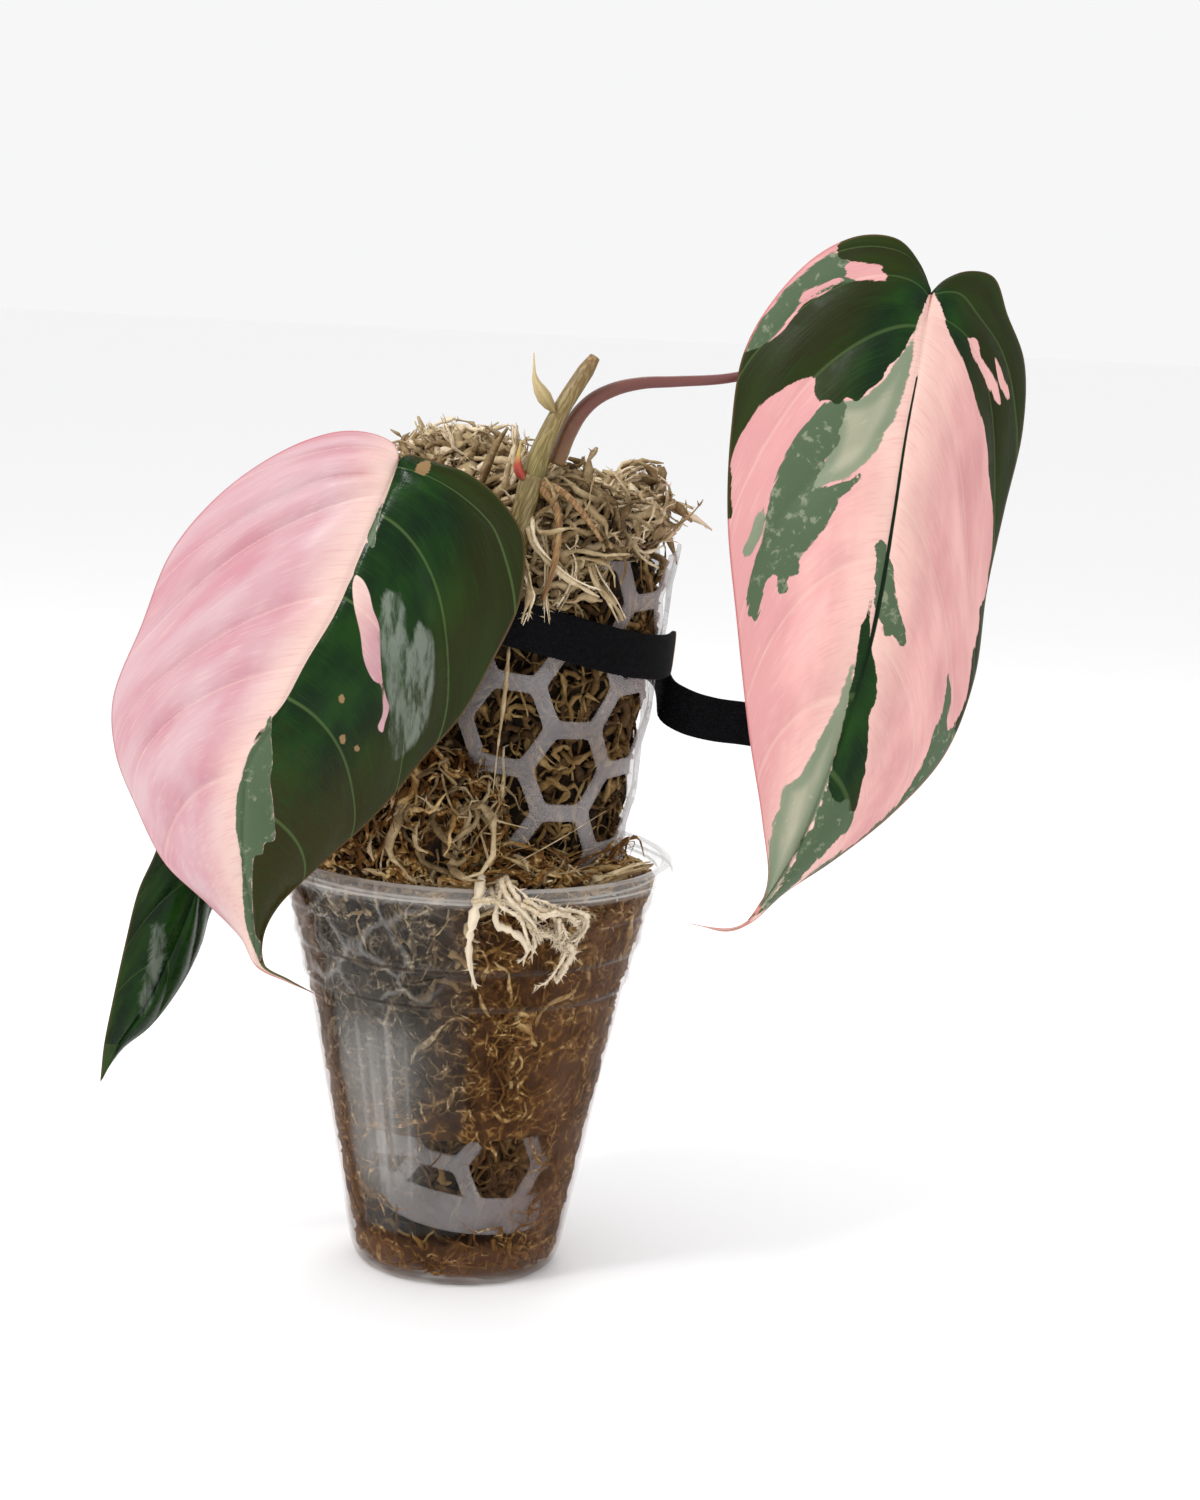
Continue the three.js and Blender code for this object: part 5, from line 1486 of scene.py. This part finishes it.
def clodSurface(centre, size, seed, room=None):
    # A ball stretched to the clod's size, its surface pushed in and out by crossed waves
    rise = np.linspace(-np.pi / 2, np.pi / 2, clod["rows"])[:, None]
    turn = np.linspace(0, 2 * np.pi, clod["sides"], endpoint=False)[None]
    ball = [np.cos(rise) * np.cos(turn), np.cos(rise) * np.sin(turn), np.sin(rise)]
    ball = np.stack(np.broadcast_arrays(*ball), -1)
    ball = ball * (clod["size"] + lumps(ball * 20, *clod["lump"], seed))[..., None]
    points = ball * np.array(size) + np.array(centre)
    if room is not None:
        points = room(points)
    values = {"tone": clod["tone"], "along": 0.2}
    return points.reshape(-1, 3), gridFaces(clod["rows"], clod["sides"], True), values


cupRoom = {"wallTop": 96.0, "clearance": 1.0, "mouthFrom": 96.5, "mouth": 44.0, "openFrom": 102.5,
           "opening": 2.2}


def withinCup(points):
    # Points are drawn in until they lie inside the wall, and inside the lip's mouth, which opens like a
    # funnel above the lip
    height = points[..., 2]
    wall = cupRadius(np.minimum(height, cupRoom["wallTop"])) - cup["wall"] - cupRoom["clearance"]
    mouth = cupRoom["mouth"] + cupRoom["opening"] * np.maximum(height - cupRoom["openFrom"], 0)
    wall = np.where(height < cupRoom["mouthFrom"], wall, mouth)
    reach = np.maximum(np.hypot(points[..., 0], points[..., 1]), 1e-6)
    share = np.minimum(wall / reach, 1)
    return np.stack([points[..., 0] * share, points[..., 1] * share, height], -1)


def clodStrands(centre, size, count, length, radius, tones, rise, aim=(0, 0, 0.3), lift=1.2, spikes=5,
                room=None):
    # Strands that lie on the clod: their flat path bends round it, and some ends stand up
    way = unit(unit(draw.normal(size=(count, 3))) + np.array(aim))
    side = unit(np.cross(way, unit(draw.normal(size=(count, 3)))))
    up = np.cross(way, side)
    path = curledPaths(count, length, 4.0, lift, rise)
    mean = float(np.mean(size))
    bent = unit(way[:, None] + (path[..., :1] * side[:, None] + path[..., 1:2] * up[:, None]) / mean)
    points = np.array(centre) + np.array(size) * bent * (1 + path[..., 2:] / mean)
    if room is not None:
        points = room(points)
    return strandSurface(points, radius, tones, spikes)


greyPart = {"fromLeft": (-0.016, 0.010), "top": (0.094, 0.101), "foot": (0.060, 0.035)}  # in metres


def mossFinish(name, stops, greyStops=None, web=0.1):
    # Tone of the strand, mottled and paler towards its end, with a web of pale fibres; where the moss
    # is pressed against the left of the cup it is greyer
    finish = Finish(name, Roughness=0.85, IOR=1.4)
    finish.set("Specular IOR Level", 0.25)
    where = finish.place()
    mottled = finish.noise(where, 260.0, 4.0, 0.6)
    grain = finish.noise(where, 1500.0, 3.0, 0.6)
    tone = finish.swung(mottled, 0.6, finish.read("tone"))
    tone = finish.swung(grain, 0.3, tone)
    tone = finish.swung(finish.read("along"), 0.22, tone, 0.4)
    fibre = finish.step(finish.cells(finish.warped(where, 240.0, 0.005), 330.0), 0.16, 0.0)
    tone = finish.scaled(finish.times(fibre, finish.step(mottled, 0.42, 0.6)), web, tone)
    tint = finish.ramp(tone, stops)
    if greyStops:
        x, _, z = finish.axes(where)
        warm = finish.math('MAXIMUM', finish.step(x, *greyPart["fromLeft"]), finish.step(z, *greyPart["top"]))
        warm = finish.math('MAXIMUM', warm, finish.step(z, *greyPart["foot"]))
        tint = finish.mix(warm, finish.ramp(tone, greyStops), tint)
    finish.set("Base Color", tint)
    finish.bump(finish.math('ADD', grain, mottled), 0.5, 0.3)
    return finish.material


dryMoss = mossFinish("dry_moss", [
    (0.0, colour(66, 50, 32)), (0.25, colour(120, 98, 66)), (0.5, colour(164, 142, 106)),
    (0.75, colour(198, 178, 142)), (1.0, colour(232, 216, 190))])
# a darker ramp than the dry moss: painted shade for the moss inside the rolled sheet and the crown's cores
shadedPoleMoss = mossFinish("pole_moss", [
    (0.0, colour(26, 17, 10)), (0.3, colour(70, 49, 26)), (0.55, colour(108, 82, 46)),
    (0.8, colour(146, 120, 76)), (1.0, colour(182, 158, 112))])
dampMoss = mossFinish("damp_moss", [
    (0.0, colour(24, 13, 4)), (0.2, colour(62, 36, 12)), (0.5, colour(102, 68, 28)),
    (0.75, colour(144, 108, 58)), (1.0, colour(194, 166, 116))], [
    (0.0, colour(20, 16, 12)), (0.3, colour(54, 46, 36)), (0.6, colour(96, 84, 66)),
    (0.85, colour(134, 120, 98)), (1.0, colour(168, 154, 132))], 0.42)

crown = [
    # centre, size, seed, strands, tones
    ((9, -13, 184), (30, 28, 10), 1.1, 380, (0.15, 0.9)),
    ((-5, -17, 191), (15, 13, 10), 2.3, 260, (0.25, 1.0)),
    ((30, -20, 183), (11, 12, 9), 3.7, 190, (0.2, 0.95)),
    ((13, -39, 182), (14, 10, 13), 5.2, 320, (-0.05, 0.55)),
]
heap = [
    # centre, size, seed, strands
    ((-19, -30, 103), (16, 13, 15), 0.7, 190),
    ((-8, -36, 113), (14, 9, 17), 1.9, 260),
    ((5, -37, 100), (18, 8, 9), 3.3, 170),
    ((28, -29, 96), (14, 10, 7), 4.4, 130),
    ((-27, 4, 97), (15, 22, 6), 5.5, 120),
    ((12, 28, 96), (28, 13, 5), 6.1, 150),
]

# the core's low tone is painted shade for the gaps behind the strands and the sheet's holes
packed = {"foot": -13, "shoulder": 160, "rows": 96, "roof": 6, "roofRows": 8, "sides": 108, "inward": 5.4,
          "lumpsAt": -4.6, "lump": (1.1, 9, 0.4), "lowest": 2.4, "tone": 0.06,
          "lowestStrand": 3.2, "inCupBelow": 90}


def poleCore():
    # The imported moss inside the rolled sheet: a lumpy cone on the pole's axis, closed by a round roof
    # whose radius follows the root of one less the square of its height
    shoulder, roof = packed["shoulder"], packed["roof"]
    top = shoulder + roof * np.sin(np.linspace(0, np.pi / 2, packed["roofRows"])[1:])
    height = np.concatenate([np.linspace(packed["foot"], shoulder, packed["rows"]), top])[:, None]
    turn = np.linspace(-180, 180, packed["sides"], endpoint=False)[None]
    arch = np.sqrt(np.clip(1 - ((height - shoulder) / (roof + 0.01)) ** 2, 0, 1))
    closing = np.where(height > shoulder, arch, 1.0)
    closing[0] = 0.001
    out = lumps(besidePole(turn, height, packed["lumpsAt"]), *packed["lump"]) - packed["inward"]
    reach = (poleRadius(height) + out) * closing - poleRadius(height)
    points = besidePole(turn, height, reach)
    points[..., 2] = np.maximum(points[..., 2], packed["lowest"])
    values = {"tone": packed["tone"], "along": 0.2}
    return points.reshape(-1, 3), gridFaces(len(height), packed["sides"], True), values


def poleStrands(count, heights, out, tones, turns, spikes, length=17, radius=0.85, lift=1.0, rise=0.0):
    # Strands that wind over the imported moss: the flat path is laid round the pole
    turn = draw.uniform(*turns, (count, 1))
    height = draw.uniform(*heights, (count, 1))
    path = curledPaths(count, length, 3.5, lift, rise)
    around = turn + np.degrees(path[..., 0] / poleRadius(height))
    points = besidePole(around, height + path[..., 1], out + path[..., 2])
    points[..., 2] = np.maximum(points[..., 2], packed["lowestStrand"])
    points = np.where(points[..., 2:] < packed["inCupBelow"], withinCup(points), points)
    return strandSurface(points, radius, tones, spikes)


def alongPath(points, count, spread, radius, tones, spikes, rows=20, spikeLength=1.3):
    # Strands that follow one smooth path, each shifted and waved a little
    line = evenly(curveThrough(points, 300), rows)
    share = np.linspace(0, 1, rows)[None, :, None]
    shift = draw.normal(size=(count, 1, 3)) * spread
    pace = draw.uniform(0.4, 1.6, (count, 1, 1))
    wave = np.sin(2 * np.pi * pace * share + draw.uniform(0, 6.3, (count, 1, 3)))
    paths = line[None] + shift + wave * spread * 0.8
    return strandSurface(paths, radius * 0.8, tones, spikes, 0.6, spikeLength, 0.45)


# Loose shreds that stand out of the crown, and others that hang in front of the sheet's top edge
crownTufts = [
    [(-7, -26, 192), (-11, -23, 198), (-13.6, -22, 201), (-15, -22, 204.6)],
    [(-6, -25, 193), (-8.4, -22, 199), (-8.8, -22, 202), (-10, -22, 205)],
    [(-1, -24, 193), (-2.4, -22, 198.6), (-1.6, -22, 201), (-1.8, -22, 203.4)],
    [(-11, -24, 192), (-15, -22, 196), (-18, -22, 198.4), (-21, -22, 198.6)],
    [(5, -43, 190), (6.2, -43, 197), (7.2, -42, 200), (6.6, -42, 205)],
    [(11, -42, 192), (14, -42, 198), (15.4, -42, 201), (14.6, -42, 203.4)],
    [(26, -22, 186), (29, -20, 191), (34, -18, 195.6), (38.6, -17, 196.4)],
    [(38.6, -17, 196.6), (39.4, -17, 193), (38.8, -18, 188), (38, -19, 180)],
    [(22, -30, 184), (26, -26, 189), (30, -23, 193.6), (35, -20, 196.4)],
    [(24, -32, 182), (29, -30, 186), (34, -27, 187.6), (38, -24, 185)],
]
hangingShreds = [
    [(12, -50, 184), (14, -51.4, 176), (13.4, -51.8, 169), (14.4, -51, 163)],
    [(16, -49.4, 183), (20, -50, 176), (19, -49.8, 170), (17, -50, 166)],
    [(6, -52.6, 182), (8.4, -54.4, 176), (10.6, -55.2, 170), (9.2, -54.8, 163.4)],
    [(9, -51.4, 188), (11.4, -53, 181), (17.4, -52, 175), (26, -48.6, 171)],
    [(22, -47, 182), (25, -47.4, 174), (29, -45, 168), (31, -43.8, 164)],
]

poleMossPlan = [
    {"count": 620, "heights": (66, 158), "out": -3.8, "tones": (0.1, 0.75), "turns": (-75, 105), "spikes": 2},
    {"count": 300, "heights": (66, 158), "out": -3.4, "tones": (0.1, 0.7), "turns": (105, 285), "spikes": 1},
    {"count": 260, "heights": (-8, 60), "out": -3.4, "tones": (0.1, 0.6), "turns": (-60, 120), "spikes": 1},
    {"count": 140, "heights": (-8, 60), "out": -3.4, "tones": (0.1, 0.6), "turns": (120, 300), "spikes": 0},
]
# The moss that pushes out between the tube's top and the crown
collarPlan = {"count": 130, "heights": (158, 172), "out": 1.8, "tones": (0.05, 0.65), "turns": (-14, 14),
              "spikes": 7, "length": 12, "radius": 0.9, "lift": 1.4, "rise": 0.2}

crownClods = [clodSurface(centre, size, seed) for centre, size, seed, count, tones in crown]
makePiece("pole_moss_core", join([poleCore(), *crownClods]), shadedPoleMoss, ["pole_moss"],
          closeWithin=1e-5)
makePiece("pole_moss_strands", join([poleStrands(**plan) for plan in poleMossPlan]), shadedPoleMoss, None,
          closeWithin=0)
makePiece("crown_strands", join([
    *[clodStrands(centre, size, count, 15, 1.0, tones, rise=0.5, spikes=6)
      for centre, size, seed, count, tones in crown],
    poleStrands(**collarPlan),
    *[alongPath(points, 9, 0.8, 0.85, (0.3, 0.95), 8, 14, 1.6) for points in crownTufts],
    *[alongPath(points, 3, 0.5, 0.7, (0.4, 0.95), 9, 16) for points in hangingShreds],
]), dryMoss, None, closeWithin=0)
print("pole moss ready")

lining = {"rows": 60, "sides": 150, "top": 97, "frontFoot": 38, "footDrop": 34, "dropTurns": (50, 62),
          "inward": 1.6, "lump": (0.7, 9, 1.7), "footShares": (0.02, 0.5, 0.9),
          "topShares": (0.95, 0.6, 0.02), "tone": 0.24, "strandHeights": (3.0, 97.5),
          "strandInward": 1.7, "leastInward": 1.0}


def roundCup(angle, reach, height):
    # A place by its turn round the upright in radians, 0 at the front, and its distance from it
    return np.stack(np.broadcast_arrays(reach * np.sin(angle), -reach * np.cos(angle), height), -1)


def wallCore():
    # Moss packed between the pole and the cup, the cup's own cone pushed in and out by crossed waves; its
    # foot stands higher at the front, where the sheet's foot shows
    turn = np.linspace(-180, 180, lining["sides"], endpoint=False)
    foot = lining["frontFoot"] - lining["footDrop"] * smoothStep(np.abs(turn), *lining["dropTurns"])
    share = np.pad(np.linspace(0, 1, lining["rows"]), 3, 'edge')[:, None]
    closing = np.concatenate([lining["footShares"], np.ones(lining["rows"]), lining["topShares"]])[:, None]
    height = foot + (lining["top"] - foot) * share
    reach = (cupRadius(height) - cup["wall"] - lining["inward"]) * closing
    angle = np.radians(turn)[None]
    push = lumps(roundCup(angle, reach, height), *lining["lump"]) * (closing > 0.99)
    points = roundCup(angle, reach + push, height)
    values = {"tone": lining["tone"], "along": 0.2}
    return points.reshape(-1, 3), gridFaces(len(share), len(turn), True), values


def wallStrands(count, heights, length, radius, tones, turns, lift=0.8):
    # Strands pressed against the inside of the cup
    turn = draw.uniform(*turns, (count, 1))
    middle = draw.uniform(*heights, (count, 1))
    path = curledPaths(count, length, 3.0, lift, rows=10)
    height = np.clip(middle + path[..., 1], *lining["strandHeights"])
    angle = np.radians(turn) + path[..., 0] / cupRadius(middle)
    inward = np.maximum(lining["strandInward"] - path[..., 2], lining["leastInward"])
    reach = cupRadius(height) - cup["wall"] - inward
    return strandSurface(roundCup(angle, reach, height), radius, tones, 0)


wallPlan = [
    # strands, heights, length, radius, tones, turns
    (800, (42, 96), 15, 0.42, (0.15, 0.62), (-100, 100)),
    (200, (12, 42), 13, 0.42, (0.15, 0.6), (50, 110)),
    (160, (12, 42), 13, 0.42, (0.15, 0.55), (-110, -50)),
    (130, (60, 97), 20, 0.7, (0.5, 0.85), (-110, 110)),
    (240, (40, 96), 18, 0.6, (0.2, 0.6), (110, 250)),
    (230, (3, 12), 9, 0.5, (0.1, 0.7), (-180, 180), 1.0),
]

heapClods = [clodSurface(centre, size, seed, withinCup) for centre, size, seed, count in heap]
makePiece("cup_moss_core", join([wallCore(), *heapClods]), dampMoss, ["cup_moss"],
          closeWithin=1e-5)
makePiece("cup_wall_strands", join([wallStrands(*plan) for plan in wallPlan]), dampMoss, None,
          closeWithin=0)

# The shreds that hang over the lip, the dry straws, and the tangle at the right end of the cup's mouth
lipTuft = [
    # route, strands, spread, radius, spikes
    ([(3, -42, 103.4), (2.6, -47.4, 104), (1.8, -50, 100.4), (0.6, -50, 94), (0.4, -47.6, 88),
      (1.0, -46.2, 83.5), (2.3, -44.6, 78.7)], 1, 0.05, 1.05, 36),
    ([(8, -45.6, 104.4), (6.6, -49.6, 101), (6.2, -49.4, 95.2), (9.4, -48.4, 93.4), (12, -47.2, 91.4),
      (13.5, -46, 89), (13.2, -45.6, 87), (11.4, -45.6, 85.3)], 1, 0.05, 1.15, 30),
    ([(13, -47.6, 97), (14.6, -46.8, 93), (15.3, -45.4, 89.6), (14.6, -44.6, 86.6)], 1, 0.05, 1.0, 18),
    ([(1.4, -50.4, 99.6), (4.2, -50.6, 100.4), (7, -50.4, 100), (10, -49.8, 99.6), (12.2, -49, 98)],
     3, 0.5, 0.75, 27),
    ([(7, -44, 104.4), (9.4, -49.6, 102), (11.6, -49.8, 99.6), (13.8, -48.6, 96.6), (16.2, -46.8, 93.4),
      (17.8, -45.6, 91)], 7, 0.9, 0.8, 36),
    ([(11.8, -49, 100), (15, -48.2, 99), (18.2, -46.8, 98), (21.4, -45.2, 97.4), (24.2, -43.6, 97)],
     5, 0.7, 0.75, 30),
    ([(23.4, -44.4, 97), (25.4, -43, 95), (26, -42, 92.4), (24.7, -41.8, 90.4), (22.5, -42.6, 89.2)],
     4, 0.6, 0.75, 42),
    ([(20.4, -46, 96), (21.2, -45, 93), (20.9, -44, 90.4), (21.7, -43, 88)], 4, 0.6, 0.7, 42),
    ([(15, -47.4, 93), (17.4, -46.4, 92), (19.4, -45.6, 92.2), (21, -44, 89.6)], 3, 0.5, 0.6, 42),
    ([(22.3, -43, 89.4), (23.6, -42, 87.2), (22.6, -42, 84.6), (21.2, -41.8, 81.8), (20.6, -41.4, 80.2)],
     2, 0.4, 0.95, 42),
    ([(22.6, -43, 88), (21.4, -42.8, 84.6), (19.6, -42.8, 81.6), (17.6, -43, 79.6), (15.6, -43.6, 78.8)],
     1, 0.1, 0.45, 24),
]
straws = [
    [(1.6, -46.5, 102.4), (10, -44.5, 107.6), (20, -41, 113.2), (30.4, -37, 119.4)],
    [(6.4, -50.6, 158), (5.8, -49.4, 145.4), (4.8, -48, 133.2), (4.2, -46, 124)],
]
rightTangle = [
    [(12, -35, 98), (20, -34, 103.4), (28, -29, 103.2), (34, -22, 102.4), (38, -15, 100)],
    [(16, -33, 99), (23, -31, 105), (30, -25, 106.4), (35, -17, 103.6), (38, -11, 99)],
    [(22, -30, 98), (28, -27, 102), (32, -22, 106.6), (35, -15, 107), (37, -7, 101)],
    [(28, -26, 98), (32, -22, 102), (36, -16, 103), (38, -12, 100)],
]
makePiece("heap_strands", join([
    *[clodStrands(centre, size, count, 16, 0.8, (0.15, 0.85), rise=0.35, room=withinCup)
      for centre, size, seed, count in heap],
    *[alongPath(points, 5, 1.5, 0.55, (0.3, 0.8), 4, 18) for points in rightTangle],
]), dampMoss, None, closeWithin=0)
makePiece("lip_tuft", join([
    *[alongPath(points, count, spread, 1.05 * radius, (0.85, 1.15), spikes, 26, 1.7)
      for points, count, spread, radius, spikes in lipTuft],
    *[clodStrands(centre, size, count // 4, 20, 0.7, (0.1, 0.6), 0.5, (0.2, -0.5, 0.6), 2, 6, withinCup)
      for centre, size, seed, count in heap[:4]],
    *[alongPath(points, 1, 0.05, 0.5, (0.5, 0.62), 0) for points in straws],
]), dryMoss, None, closeWithin=0)
print("cup moss ready")
